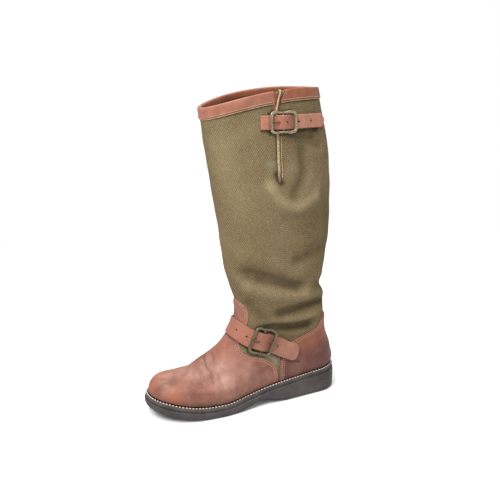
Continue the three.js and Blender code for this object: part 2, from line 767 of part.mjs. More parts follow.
// A strap, its buckle with a middle bar, the prong, and the chape that holds the bar
const fastenings = {
  top: {
    track: trackOf(TOP_STRAP, TOP_STRAP_BUCKLE_ROW),
    width: TOP_STRAP_WIDTH,
    buckle: TOP_BUCKLE_LENGTH,
    from: TOP_STRAP_START,
    to: TOP_STRAP_END,
    start: GAP,
    tipLength: TOP_TIP,
    tip: (u) => Math.max(u, 0.08),
    holes: [0, 1, 2].map((k) => TOP_FIRST_HOLE + k * TOP_HOLE_PITCH),
  },
  ankle: {
    track: ankleTrack,
    width: ANKLE_STRAP_WIDTH,
    buckle: ANKLE_BUCKLE_LENGTH,
    from: ankleTrack.start + 1,
    to: ANKLE_STRAP_END,
    start: STRAP_SEAT,
    tipLength: ANKLE_TIP,
    tip: (u) => Math.max(Math.sqrt(1 - (1 - u) ** 2), 0.12),
    holes: [0, 1, 3, 4].map((k) => ANKLE_FIRST_HOLE + k * ANKLE_HOLE_PITCH),
  },
};

// How far the strap's rise over the middle bar reaches to each side
const humpReach = (f) => f.buckle / 2 - 2 * BAR_RADIUS - HUMP_CLEARANCE;

// Height of a strap's underside: up over the middle bar, down under the side bars, the tail standing off
function strapHeight(f, along) {
  const seat = mix(f.start, STRAP_SEAT, smooth((along - f.from) / STRAP_RAMP));
  const u = Math.min(Math.abs(along) / humpReach(f), 1);
  const tail = smooth((along - f.buckle / 2 - 2) / (f.to - f.buckle / 2));
  return seat + HUMP * (1 - u * u) ** 2 + TAIL_LIFT * tail;
}

function prongPath(f) {
  const path = [];
  const radius = BAR_RADIUS + GAP + PRONG_RADIUS;
  for (const angle of [-30, 10, 50]) {
    const a = radians(angle);
    path.push(f.track.point(radius * Math.cos(a), 0, BAR_HEIGHT + radius * Math.sin(a)));
  }
  const tipAt = f.buckle / 2 - BAR_RADIUS + PRONG_OVERHANG;
  const tipHeight = SIDE_BAR_HEIGHT + BAR_RADIUS + GAP + PRONG_RADIUS;
  const steps = 6;
  for (let k = 0; k <= steps; k++) {
    const u = k / steps;
    path.push(f.track.point(-tipAt * u, 0, mix(BAR_HEIGHT + radius, tipHeight, u)));
  }
  return path;
}
const prongSolid = (f, spare) => {
  const path = prongPath(f);
  return barSolid(path, path.map(() => PRONG_RADIUS + spare), false);
};

function strapSolid(f) {
  const width = (along) => f.width * f.tip(Math.min((f.to - along) / f.tipLength, 1));
  const hump = humpReach(f);
  const tipFrom = f.to - f.tipLength;
  const stations = [
    ...spread(f.from, -hump, Math.ceil((-hump - f.from) / STRAP_STEP)),
    ...spread(-hump, hump, HUMP_STEPS).slice(1),
    ...spread(hump, tipFrom, Math.ceil((tipFrom - hump) / STRAP_STEP)).slice(1),
    ...spread(tipFrom, f.to, 3).slice(1),
  ];
  const body = strip(f.track, stations, 3, width, STRAP_THICKNESS, (along) => strapHeight(f, along));
  const punches = f.holes.map((along) => {
    const path = [-1, STRAP_THICKNESS + 1].map((h) => f.track.point(along, 0, strapHeight(f, along) + h));
    const [low, high] = path.map((p) => p.place);
    const side = f.track.point(along, 1, 0).place.sub(f.track.point(along, 0, 0).place);
    return barSolid([{ place: low, up: side }, { place: high, up: side }], [HOLE_RADIUS, HOLE_RADIUS], false, 8);
  });
  return punches.reduce((solid, punch) => solid.subtract(punch), body.subtract(prongSolid(f, GAP)));
}

// The short strap that loops round the middle bar and is sewn down under the tail
function chapeSolid(f) {
  const low = GAP + CHAPE_THICKNESS / 2;
  const sewnEnd = f.buckle / 2 + CHAPE_PAST_BUCKLE;
  const foldEnd = humpReach(f) / 2;
  const line = [1, 0.8, 0.6, 0.4, 0.2, 0].map((u) => [sewnEnd * u, low]);
  for (const degrees of [240, 210, 180, 150, 120, 90]) {
    const angle = radians(degrees);
    line.push([LOOP_RADIUS * Math.cos(angle), BAR_HEIGHT + LOOP_RADIUS * Math.sin(angle)]);
  }
  for (const u of [0.25, 0.5, 0.75, 1]) {
    line.push([foldEnd * u, mix(BAR_HEIGHT + LOOP_RADIUS, low + CHAPE_THICKNESS + GAP, smooth(u))]);
  }
  const half = f.width / 2 - CHAPE_INSET;
  const across = spread(-half, half, 2);
  const side = (sign) =>
    line.map(([along, height], k) => {
      const before = line[Math.max(k - 1, 0)];
      const after = line[Math.min(k + 1, line.length - 1)];
      const run = Math.hypot(after[0] - before[0], after[1] - before[1]);
      const shift = (sign * CHAPE_THICKNESS) / 2 / run;
      const a = along - (after[1] - before[1]) * shift;
      const h = height + (after[0] - before[0]) * shift;
      return across.map((b) => f.track.point(a, b, h).place);
    });
  return slabSolid(side(-1), side(1)).subtract(prongSolid(f, GAP));
}

// A rounded frame whose long sides dip to carry the middle bar
function frameSolid(f) {
  const halfLong = f.buckle / 2 - BAR_RADIUS;
  const halfWide = (f.width * BUCKLE_TO_STRAP) / 2 - BAR_RADIUS;
  const squareness = 0.32;
  const stations = 28;
  const path = Array.from({ length: stations }, (_, k) => {
    const angle = (2 * Math.PI * (k + 0.5)) / stations;
    const share = Math.sign(Math.cos(angle)) * Math.abs(Math.cos(angle)) ** squareness;
    const middle = (1 - share * share) ** 2;
    const reach = halfWide * Math.abs(Math.sin(angle)) ** squareness - BAR_DIP * middle;
    const height = mix(SIDE_BAR_HEIGHT, BAR_HEIGHT, middle);
    return f.track.point(halfLong * share, Math.sign(Math.sin(angle)) * reach, height);
  });
  const frame = barSolid(path, path.map(() => BAR_RADIUS), true);
  const ends = halfWide - BAR_DIP;
  const bar = [-1, -0.5, 0, 0.5, 1].map((u) => f.track.point(0, u * ends, BAR_HEIGHT));
  const middleBar = barSolid(bar, bar.map(() => BAR_RADIUS * 0.97), false);
  return frame.add(middleBar);
}

// The scene graph

const LEATHER_COLOUR = "#9a6650";
const STRAP_COLOUR = "#b3715a";
const CLOTH_COLOUR = "#86775a";
const RUBBER_COLOUR = "#4c4846";
const METAL_COLOUR = "#8d8672";

function node(name, solid, color, roughness, metalness = 0) {
  const { vertProperties, triVerts } = solid.getMesh();
  const geometry = new THREE.BufferGeometry();
  geometry.setAttribute("position", new THREE.BufferAttribute(vertProperties, 3));
  geometry.setIndex(new THREE.BufferAttribute(triVerts, 1));
  geometry.computeVertexNormals();
  const mesh = new THREE.Mesh(geometry, new THREE.MeshStandardMaterial({ color, roughness, metalness }));
  mesh.name = name;
  return mesh;
}

const sole = new THREE.Group();
sole.add(
  node("outsole", outsole(), RUBBER_COLOUR, 0.85),
  node("welt", welt(), RUBBER_COLOUR, 0.7),
  node("insole", insole(), LEATHER_COLOUR, 0.8),
);

const leg = new THREE.Group();
leg.add(
  node("upper", upper(), CLOTH_COLOUR, 0.95),
  node("vamp", vamp(), LEATHER_COLOUR, 0.55),
  node("counter", counter(), LEATHER_COLOUR, 0.55),
  node("collar_band", collarBand(), LEATHER_COLOUR, 0.55),
  node("gusset_piping", gussetPiping(), CLOTH_COLOUR, 0.9),
);

const buckled = new THREE.Group();
for (const [name, fastening] of Object.entries(fastenings)) {
  buckled.add(
    node(`${name}_strap`, strapSolid(fastening), STRAP_COLOUR, 0.55),
    node(`${name}_chape`, chapeSolid(fastening), STRAP_COLOUR, 0.6),
    node(`${name}_buckle`, frameSolid(fastening), METAL_COLOUR, 0.4, 0.9),
    node(`${name}_prong`, prongSolid(fastening, 0), METAL_COLOUR, 0.4, 0.9),
  );
}

const boot = new THREE.Group();
boot.add(sole, leg, buckled);

export default boot;
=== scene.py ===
"""The looks of the left field boot: cloth shaft, leather foot, buckled straps, stitched rubber sole."""
import math

import bmesh
import bpy
import numpy as np
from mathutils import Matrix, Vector


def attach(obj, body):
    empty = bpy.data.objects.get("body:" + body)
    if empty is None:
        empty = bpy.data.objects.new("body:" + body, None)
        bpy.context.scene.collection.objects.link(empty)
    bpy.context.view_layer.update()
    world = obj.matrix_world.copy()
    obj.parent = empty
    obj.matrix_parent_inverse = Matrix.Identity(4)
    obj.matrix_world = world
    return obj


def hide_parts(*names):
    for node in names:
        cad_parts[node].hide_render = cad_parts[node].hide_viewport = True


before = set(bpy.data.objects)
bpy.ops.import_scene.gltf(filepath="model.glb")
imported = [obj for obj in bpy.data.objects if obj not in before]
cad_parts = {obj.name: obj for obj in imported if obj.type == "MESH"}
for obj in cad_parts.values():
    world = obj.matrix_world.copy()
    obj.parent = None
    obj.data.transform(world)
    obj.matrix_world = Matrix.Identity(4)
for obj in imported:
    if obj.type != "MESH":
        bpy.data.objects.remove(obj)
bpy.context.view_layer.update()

# The boot's own sizes in millimetres, the same as in the solids
FOOT_LENGTH = 312
BALL_WIDTH = 107.7
WAIST_WIDTH = 77.5
HEEL_WIDTH = 79.2
TOE_SWING = 9.6
HEEL_STACK = 40
SOLE_THICKNESS = 17.6
TOE_SPRING = 15
ARCH_RISE = 7.6
SOLE_BEVEL = 5
WELT_THICKNESS = 5
WELT_INSET = 1.2
STITCH_LINE = 1.9
FEATHER_INSET = 7
INSOLE_RISE = 1.5
GROOVE_HEIGHT = 1.6
GROOVE_DEPTH = 2
HEEL_CENTRE = 46
ANKLE_RISE = 110
SHAFT_RISE = 323
COLLAR_DROP = 26
COLLAR_CROWN = 9
CALF_LENGTH = 184
CALF_WIDTH = 100
UPPER_WALL = 2.2
LEATHER = 1.8
BAND_WIDTH = 14.5
BAND_TURN_IN = 9
BAND_THICKNESS = 1.5
PIPING_WIDTH = 3.8
PIPING_LENGTH = 128
TOP_STRAP_WIDTH = 20
TOP_STRAP_START = -33
TOP_STRAP_END = 74
TOP_STRAP_TIP = 7
TOP_FIRST_HOLE = 4
ANKLE_STRAP_WIDTH = 28
ANKLE_STRAP_END = 65
ANKLE_STRAP_TIP = 9
ANKLE_FIRST_HOLE = -42
STRAP_THICKNESS = 1.9
STRAP_SEAT = 2.9
CHAPE_THICKNESS = 1.6
CHAPE_INSET = 0.5
TOP_BUCKLE_LENGTH = 41
ANKLE_BUCKLE_LENGTH = 34
BUCKLE_TO_STRAP = 1.56
BAR_RADIUS = 1.6
BAR_DIP = 1.2
HUMP_CLEARANCE = 1.5
STRAP_RAMP = 12
PRONG_RADIUS = 0.8
PRONG_OVERHANG = 1.8
HOLE_RADIUS = 1.4
TOP_HOLE_PITCH = 21
ANKLE_HOLE_PITCH = 17
GAP = 0.3
WELT_INNER = FEATHER_INSET + UPPER_WALL + 0.7

# The scene's own sizes in millimetres
SEAM_PITCH = 3.4
SEAM_STITCH = 2.6
SEAM_THREAD = 0.5
SEAM_ROWS = (2.4, 5.4)
WELT_STITCH_PITCH = 5.0
WELT_STITCH = 3.3
WELT_THREAD = 0.8
TREAD_PITCH = 11
TREAD_DEPTH = 1.6
TREAD_WAVE = 2.5
HEEL_TREAD = (8, 90)
FORE_TREAD = (158, 300)
STRAP_CALM = 9
FOLD_REACH = 2.6
FOLD_ENDS = 0.22
RIM_HEIGHT = 0.5
CHAPE_PAST_BUCKLE = 14
TAIL_LIFT = 3
FRAME_RADIUS = 1.45
RIB_PERIOD = 4.0
CROSS_PERIOD = 3.4
MM = 0.001
FLOOR_RADIUS = 1.15

WAIST_AT = 0.42
OUTER_BALL_AT = 0.7
INNER_BALL_AT = 0.76
OUTER_BALL_SHARE = 0.512
OUTER_WAIST_SHARE = 0.561
HEEL_CAP = 0.13
TOE_CAP = 0.24
CAP_POWER = 2.2
SWING_FROM = 0.35
WELT_ZONE = 0.05

SIDE_COLUMNS = ("at", "lift", "spring")
SIDE = [
    (0.0, 1.0, 0.0), (0.19, 0.8, 0.0), (0.31, 0.68, 0.0), (0.335, 0.65, 0.0), (0.4, 0.55, 0.0),
    (0.48, 0.36, 0.0), (0.54, 0.24, 0.0), (0.66, 0.0, 0.0), (0.72, 0.0, 0.0), (0.8, 0.0, 0.15),
    (0.865, 0.0, 0.39), (0.93, 0.0, 0.69), (1.0, 0.0, 1.0),
]
# How the sole's underside rises under the arch, higher and further forward than in the solid
ARCH = [
    (0.0, 0.0), (0.31, 0.0), (0.36, 0.35), (0.41, 1.0), (0.45, 1.22), (0.49, 1.05), (0.537, 0.55),
    (0.594, 0.08), (0.66, 0.0), (1.0, 0.0),
]
FOOT_COLUMNS = (
    "at", "back", "backUp", "tip", "tipUp", "heelOut", "waistOut", "ballOut",
    "heelIn", "waistIn", "ballIn", "swing", "follow", "heelCap", "toeCap",
)
FOOT = [
    (0.05, 0.013, 0.1, 0.9705, 0.085, 0.448, 0.503, 0.474, 0.448, 0.387, 0.446, 1.0, 1.0, 0.14, 0.25),
    (0.1, 0.019, 0.21, 0.9503, 0.16, 0.454, 0.503, 0.474, 0.454, 0.4, 0.436, 0.94, 0.95, 0.15, 0.27),
    (0.15, 0.029, 0.32, 0.9087, 0.178, 0.454, 0.49, 0.446, 0.454, 0.413, 0.409, 0.83, 0.9, 0.16, 0.3),
    (0.21, 0.045, 0.455, 0.8253, 0.185, 0.442, 0.465, 0.399, 0.442, 0.413, 0.371, 0.73, 0.7, 0.2, 0.34),
    (0.27, 0.053, 0.58, 0.7333, 0.312, 0.429, 0.439, 0.353, 0.429, 0.413, 0.344, 0.52, 0.5, 0.26, 0.38),
    (0.33, 0.058, 0.71, 0.641, 0.466, 0.429, 0.439, 0.334, 0.429, 0.426, 0.334, 0.31, 0.35, 0.32, 0.42),
    (0.39, 0.0593, 0.855, 0.577, 0.68, 0.442, 0.465, 0.344, 0.442, 0.452, 0.344, 0.1, 0.2, 0.4, 0.46),
    (0.45, 0.063, 1.0, 0.5385, 0.917, 0.467, 0.503, 0.362, 0.467, 0.503, 0.362, 0.0, 0.1, 0.46, 0.5),
]
SHAFT_COLUMNS = ("at", "back", "up", "length", "drop", "width", "crown")
SHAFT = [
    (0.52, 0.0737, 0.074, 0.793, 0.39, 0.86, 0),
    (0.6, 0.0641, 0.192, 0.88, 0.46, 0.92, 0),
    (0.69, 0.0458, 0.347, 0.954, 0.615, 0.98, 0),
    (0.78, 0.0449, 0.52, 0.997, 0.77, 1.0, 0),
    (0.87, 0.0558, 0.706, 1.034, 0.9, 0.96, 0.2),
    (0.94, 0.0865, 0.861, 1.026, 0.99, 0.9, 0.5),
    (1.0, 0.1218, 1.0, 1.0, 1.0, 0.84, 1.0),
]

# How far the leather reaches round the boot in degrees from its middle, by rise. The vamp's rear edge,
# the gusset's edge and the opening of the band stand a degree or more from the solids', as in the photo
VAMP = [
    (0.004, 105.3), (0.063, 104.2), (0.104, 103.0), (0.159, 99.2), (0.221, 89.8), (0.259, 78.2),
    (0.286, 64.8), (0.339, 42.8), (0.38, 31), (0.45, 29.5), (0.487, 26), (0.508, 18), (0.52, 5),
]
COUNTER = [
    (0.004, 73.6), (0.112, 74.6), (0.22, 76), (0.266, 73.5), (0.284, 68), (0.295, 59), (0.302, 47),
    (0.318, 38.4), (0.34, 33), (0.352, 16),
]
PIPING = [(82.8, 0.838), (84.4, 0.884), (87.1, 0.926), (88.9, 0.955), (90.3, 0.975), (92.4, 1.0)]
TOP_STRAP = [(73, 0.956), (93.2, 0.95), (111, 0.946), (136, 0.942), (150, 0.94)]
ANKLE_STRAP = [
    (-112, 0.22), (-85, 0.3), (-63, 0.357), (-38, 0.395), (-14, 0.418), (14, 0.415), (38, 0.392),
    (65.2, 0.353), (85, 0.309), (104, 0.24), (122, 0.175),
]
BAND_OPEN_FROM = 90.2
BAND_OPEN_TO = 94.8

# Folds of the cloth and creases of the leather: height (troughs are negative) and half width in
# millimetres, then the line they follow as (turn in degrees, rise)
FOLDS = [
    (-7.0, 9, [(12, 0.625), (30, 0.62), (49, 0.612), (64, 0.599), (77, 0.582), (89, 0.565), (103, 0.549),
               (116, 0.54), (126, 0.536)]),
    (2.5, 11, [(8, 0.668), (19, 0.668), (45, 0.659), (65, 0.645), (84, 0.618), (103, 0.586), (120, 0.57)]),
    (5.0, 12, [(8, 0.59), (24, 0.576), (49, 0.562), (69, 0.54), (90, 0.526), (115, 0.516), (136, 0.506)]),
    (2.2, 9, [(108, 0.503), (126, 0.496), (146, 0.49), (170, 0.486), (195, 0.486)]),
    (-4.5, 12, [(112, 0.54), (130, 0.533), (150, 0.528), (175, 0.527), (200, 0.527)]),
    (-7.0, 5, [(62, 0.455), (76, 0.47), (90, 0.473), (105, 0.472), (122, 0.471), (142, 0.462),
               (160, 0.456)]),
    (4.0, 8, [(60, 0.44), (71, 0.434), (90, 0.423), (111, 0.408), (133, 0.398), (160, 0.4)]),
    (-5.5, 5, [(48, 0.42), (60, 0.41), (73, 0.4), (95, 0.379), (113, 0.362), (131, 0.358), (145, 0.37)]),
    (2.5, 7, [(78, 0.37), (92, 0.349), (112, 0.328), (129, 0.325)]),
    (-3.0, 8, [(86, 0.63), (94, 0.633), (108, 0.642), (124, 0.649), (147, 0.649), (165, 0.64)]),
    (2.0, 11, [(85, 0.67), (106, 0.682), (129, 0.687), (150, 0.68)]),
    (2.0, 10, [(95, 0.604), (102, 0.606), (120, 0.607), (139, 0.613), (160, 0.6)]),
    (-5.0, 9, [(111, 0.915), (110, 0.893), (109, 0.867), (108, 0.841), (102, 0.82), (95, 0.803),
               (88, 0.8)]),
    (4.5, 9, [(68, 0.86), (76, 0.83), (81, 0.802), (94, 0.775), (108, 0.779), (123, 0.797), (134, 0.83)]),
    (-4.0, 7, [(100, 0.918), (109, 0.915), (118, 0.908), (131, 0.896), (140, 0.88)]),
    (-2.0, 6, [(81, 0.862), (82, 0.848), (84, 0.835), (87, 0.828)]),
    (-2.5, 9, [(24, 0.53), (30, 0.509), (40, 0.483), (59, 0.454)]),
    (-2.5, 9, [(150, 0.585), (172, 0.575), (195, 0.572)]),
    (-3.0, 9, [(182, 0.49), (205, 0.482), (240, 0.47), (290, 0.48)]),
    (2.5, 12, [(185, 0.53), (215, 0.525), (260, 0.53), (310, 0.55)]),
    (-3.0, 12, [(200, 0.62), (235, 0.6), (280, 0.62), (330, 0.64)]),
    (-2.0, 4, [(-26, 0.285), (-6, 0.291), (27, 0.259), (44, 0.212), (60, 0.14)]),
    (1.5, 4, [(-18, 0.3), (3, 0.3), (33, 0.262), (50, 0.205), (62, 0.15)]),
    (-1.8, 3.2, [(-12, 0.312), (12, 0.298), (38, 0.254), (56, 0.19), (66, 0.13)]),
    (-1.0, 3.5, [(-20, 0.27), (0, 0.265), (28, 0.225), (52, 0.135)]),
    (-0.8, 3, [(-12, 0.232), (4, 0.228), (20, 0.222), (36, 0.205)]),
    (-2.0, 12, [(-40, 0.3), (-8, 0.318), (22, 0.318), (50, 0.28), (68, 0.22)]),
    (-0.9, 4, [(66, 0.2), (76, 0.15), (80, 0.09)]),
    (-0.8, 4, [(20, 0.4), (26, 0.36), (34, 0.33)]),
]


def mix(a, b, t):
    return a + (b - a) * t


def smooth(t):
    s = np.clip(t, 0, 1)
    return s * s * (3 - 2 * s)


def unit(v):
    return v / np.maximum(np.linalg.norm(v, axis=-1, keepdims=True), 1e-9)


def place_in(xs, x):
    """The step of a table that holds a value, and how far along the step it lies."""
    i = np.clip(np.searchsorted(xs, x, side="left") - 1, 0, len(xs) - 2)
    return i, np.clip((x - xs[i]) / (xs[i + 1] - xs[i]), 0, 1)


def steady_curve(xs, ys):
    """A curve through the points of a table that never swings past them."""
    xs, ys = np.array(xs, float), np.array(ys, float)
    step = np.diff(xs)
    slope = np.diff(ys) / step
    tangent = np.zeros(len(xs))
    tangent[0] = slope[0]
    tangent[-1] = slope[-1]
    for i in range(1, len(xs) - 1):
        if slope[i - 1] * slope[i] > 0:
            before = 2 * step[i] + step[i - 1]
            after = step[i] + 2 * step[i - 1]
            tangent[i] = (before + after) / (before / slope[i - 1] + after / slope[i])

    def curve(x):
        i, t = place_in(xs, x)
        rise = (t - 2 * t**2 + t**3) * tangent[i] + (t**3 - t**2) * tangent[i + 1]
        return mix(ys[i], ys[i + 1], smooth(t)) + step[i] * rise

    return curve


def fair_curve(xs, ys):
    """A curve through the points of a table with an even bend."""
    xs, ys = np.array(xs, float), np.array(ys, float)
    n = len(xs)
    step = np.diff(xs)
    matrix = np.eye(n)
    pull = np.zeros(n)
    for i in range(1, n - 1):
        matrix[i, i - 1 : i + 2] = step[i - 1], 2 * (step[i - 1] + step[i]), step[i]
        pull[i] = 6 * ((ys[i + 1] - ys[i]) / step[i] - (ys[i] - ys[i - 1]) / step[i - 1])
    bend = np.linalg.solve(matrix, pull)

    def curve(x):
        i, t = place_in(xs, x)
        fall = ((1 - t) ** 3 - (1 - t)) * bend[i] + (t**3 - t) * bend[i + 1]
        return mix(ys[i], ys[i + 1], t) + step[i] ** 2 / 6 * fall

    return curve


def milestones(line):
    """How far along a polyline each of its points lies."""
    return np.concatenate([[0], np.cumsum(np.linalg.norm(np.diff(line, axis=0), axis=1))])


def darkest(*shades):
    """The strongest of several shades at each point."""
    return np.maximum.reduce(np.broadcast_arrays(*shades))


def bell(far, width):
    """1 where the distance is nothing, fading to 0 over the width."""
    return np.exp(-((far / width) ** 2))


def column_curve(rows, k=1):
    """The steady curve of one column of a table over its first."""
    return steady_curve([row[0] for row in rows], [row[k] for row in rows])


lift_of = column_curve(SIDE, SIDE_COLUMNS.index("lift"))
spring_of = column_curve(SIDE, SIDE_COLUMNS.index("spring"))
arch_of = column_curve(ARCH)


def sole_top(forward):
    at = forward / FOOT_LENGTH
    return SOLE_THICKNESS + (HEEL_STACK - SOLE_THICKNESS) * lift_of(at) + TOE_SPRING * spring_of(at)


def sole_under(forward):
    at = forward / FOOT_LENGTH
    return TOE_SPRING * spring_of(at) + ARCH_RISE * arch_of(at)


def half_width(share, heel, waist, ball, heel_cap, toe_cap, ball_at):
    heel_end = np.minimum(share / heel_cap, 1)
    toe_end = np.minimum((1 - share) / toe_cap, 1)
    round_heel = (1 - (1 - heel_end) ** CAP_POWER) ** (1 / CAP_POWER)
    round_toe = (1 - (1 - toe_end) ** CAP_POWER) ** (1 / CAP_POWER)
    heel_from = 0.8 * heel_cap
    to_waist = smooth((share - heel_from) / (WAIST_AT - heel_from))
    to_ball = smooth((share - WAIST_AT) / (ball_at - WAIST_AT))
    side = np.where(share < WAIST_AT, mix(heel, waist, to_waist), mix(waist, ball, to_ball))
    return side * round_heel * round_toe


def outline(angle, inset):
    """Across and forward of a point on the sole's outline, drawn in by an inset."""
    share = (1 + np.cos(angle)) / 2
    outer = np.sin(angle) >= 0
    ball = BALL_WIDTH * np.where(outer, OUTER_BALL_SHARE, 1 - OUTER_BALL_SHARE) - inset
    waist = WAIST_WIDTH * np.where(outer, OUTER_WAIST_SHARE, 1 - OUTER_WAIST_SHARE) - inset
    heel = HEEL_WIDTH / 2 - inset
    ball_at = np.where(outer, OUTER_BALL_AT, INNER_BALL_AT)
    half = half_width(share, heel, waist, ball, HEEL_CAP, TOE_CAP, ball_at)
    swing = TOE_SWING * smooth((share - SWING_FROM) / (1 - SWING_FROM))
    return np.where(outer, half, -half) - swing, mix(inset, FOOT_LENGTH - inset, share)


def boot_sections():
    feather = {
        "at": 0, "back": FEATHER_INSET, "backZ": HEEL_STACK,
        "tip": FOOT_LENGTH - FEATHER_INSET, "tipZ": SOLE_THICKNESS + TOE_SPRING,
        "swing": TOE_SWING, "follow": 1, "heelCap": HEEL_CAP, "toeCap": TOE_CAP, "crown": 0,
    }
    for side, waist, ball in (
        ("Out", OUTER_WAIST_SHARE, OUTER_BALL_SHARE), ("In", 1 - OUTER_WAIST_SHARE, 1 - OUTER_BALL_SHARE),
    ):
        feather["heel" + side] = HEEL_WIDTH / 2 - FEATHER_INSET
        feather["waist" + side] = WAIST_WIDTH * waist - FEATHER_INSET
        feather["ball" + side] = BALL_WIDTH * ball - FEATHER_INSET
    rows = [feather]
    for values in FOOT:
        row = dict(zip(FOOT_COLUMNS, values))
        row["backZ"] = HEEL_STACK + row["backUp"] * ANKLE_RISE
        row["tipZ"] = SOLE_THICKNESS + TOE_SPRING + row["tipUp"] * ANKLE_RISE
        row["back"] *= FOOT_LENGTH
        row["tip"] *= FOOT_LENGTH
        row["swing"] *= TOE_SWING
        row["crown"] = 0
        for side in ("Out", "In"):
            row["heel" + side] *= HEEL_WIDTH
            row["waist" + side] *= WAIST_WIDTH
            row["ball" + side] *= BALL_WIDTH
        rows.append(row)
    for values in SHAFT:
        row = dict(zip(SHAFT_COLUMNS, values))
        row["back"] *= FOOT_LENGTH
        row["backZ"] = HEEL_STACK + ANKLE_RISE + row["up"] * SHAFT_RISE
        row["tip"] = row["back"] + row["length"] * CALF_LENGTH
        row["tipZ"] = row["backZ"] - row["drop"] * COLLAR_DROP
        row["crown"] *= COLLAR_CROWN
        row.update(swing=0, follow=0, heelCap=0.5, toeCap=0.5)
        for name in ("heel", "waist", "ball"):
            row[name + "Out"] = row[name + "In"] = row["width"] * CALF_WIDTH / 2
        rows.append(row)
    return rows


sections = boot_sections()
section_curves = {}
for section_name in sections[0]:
    if section_name != "at":
        kind = fair_curve if section_name in ("back", "backZ", "tip", "tipZ") else steady_curve
        section_curves[section_name] = kind(
            [row["at"] for row in sections], [row[section_name] for row in sections]
        )


def face_point(turn, rise):
    """The point of the cloth's outer face at a turn from the front (radians) and a rise."""
    turn, rise = np.broadcast_arrays(np.asarray(turn, float), np.clip(rise, 0, 1))
    s = {name: curve(rise) for name, curve in section_curves.items()}
    share = (1 + np.cos(turn)) / 2
    outer = np.sin(turn) >= 0
    half = half_width(
        share,
        np.where(outer, s["heelOut"], s["heelIn"]),
        np.where(outer, s["waistOut"], s["waistIn"]),
        np.where(outer, s["ballOut"], s["ballIn"]),
        s["heelCap"],
        s["toeCap"],
        np.where(outer, OUTER_BALL_AT, INNER_BALL_AT),
    )
    swing = s["swing"] * smooth((share - SWING_FROM) / (1 - SWING_FROM))
    forward = mix(s["back"], s["tip"], share)
    level = mix(s["backZ"], s["tipZ"], share) + s["crown"] * 4 * share * (1 - share)
    sag = sole_top(forward) - mix(sole_top(s["back"]), sole_top(s["tip"]), share)
    x = np.where(outer, half, -half) - swing
    return np.stack([x, HEEL_CENTRE - forward, level + s["follow"] * sag + GAP], -1)


def face_frame(turn, rise):
    """The two directions along the surface and the one out of it."""
    low = np.maximum(rise - 0.004, 0)
    high = np.minimum(rise + 0.004, 1)
    along = (face_point(turn + 0.01, rise) - face_point(turn - 0.01, rise)) / 0.02
    up = (face_point(turn, high) - face_point(turn, low)) / np.asarray(high - low)[..., None]
    return along, up, unit(np.cross(along, up))


def line_distance(points, line):
    """Distance of each point from a polyline and the share of the line where it is nearest."""
    best = np.full(len(points), 1e9)
    share = np.zeros(len(points))
    reached = milestones(line)
    lengths = np.diff(reached)
    for i in range(len(line) - 1):
        step = line[i + 1] - line[i]
        t = np.clip((points - line[i]) @ step / (step @ step), 0, 1)
        far = np.linalg.norm(points - line[i] - t[:, None] * step, axis=1)
        nearer = far < best
        best[nearer] = far[nearer]
        share[nearer] = (reached[i] + t[nearer] * lengths[i]) / reached[-1]
    return best, share


def along_table(table, steps):
    """Turns in degrees and rises along the line through the rows of a table."""
    index = np.arange(len(table))
    fine = np.linspace(0, len(table) - 1, steps * (len(table) - 1) + 1)
    return [fair_curve(index, [row[k] for row in table])(fine) for k in (0, 1)]


def surface_line(spots):
    """Points on the surface along a line of (turn in degrees, rise) spots."""
    turns, rises = along_table(spots, 4)
    return face_point(np.radians(turns), rises)


fold_lines = [(height, width, surface_line(spots)) for height, width, spots in FOLDS]
ankle_line = surface_line(ANKLE_STRAP)
STRAP_LINES = ((ankle_line, ANKLE_STRAP_WIDTH / 2), (surface_line(TOP_STRAP), TOP_STRAP_WIDTH / 2))

# Slight unevenness all over: the waves' direction, start and height
WAVES = [
    ((0.11, 0.05, 0.09), 0.4, 0.28),
    ((-0.05, 0.13, 0.06), 1.9, 0.22),
    ((0.07, -0.08, 0.15), 3.1, 0.2),
    ((0.16, 0.1, -0.12), 5.2, 0.12),
]


def relief(points, rise):
    """How far folds and creases lift the surface, in millimetres."""
    flat = points.reshape(-1, 3)
    lift = np.zeros(len(flat))
    for height, width, line in fold_lines:
        reach = FOLD_REACH * width
        near = np.all((flat > line.min(0) - reach) & (flat < line.max(0) + reach), axis=1)
        if near.any():
            far, share = line_distance(flat[near], line)
            ends = smooth(share / FOLD_ENDS) * smooth((1 - share) / FOLD_ENDS)
            lift[near] += height * bell(far, width) * ends
    for direction, start, height in WAVES:
        lift += height * np.sin(flat @ np.array(direction) + start)
    for line, half in STRAP_LINES:
        lift *= smooth((line_distance(flat, line)[0] - half - 1) / STRAP_CALM)
    lift = lift.reshape(points.shape[:-1])
    return lift * smooth(rise / 0.06) * smooth((1 - rise) / 0.06)


def skin(turn, rise, off):
    """Points off the folded surface; next to the welt they follow the sole's top."""
    turn, rise = np.broadcast_arrays(np.asarray(turn, float), np.asarray(rise, float))
    out = face_frame(turn, rise)[2]
    freed = smooth(rise / WELT_ZONE)
    out[..., 2] *= freed
    out = unit(out)
    base = face_point(turn, rise)
    point = base + out * (off + relief(base, rise))[..., None]
    drop = sole_top(HEEL_CENTRE - point[..., 1]) - sole_top(HEEL_CENTRE - base[..., 1])
    point[..., 2] += (1 - freed) * drop
    return point


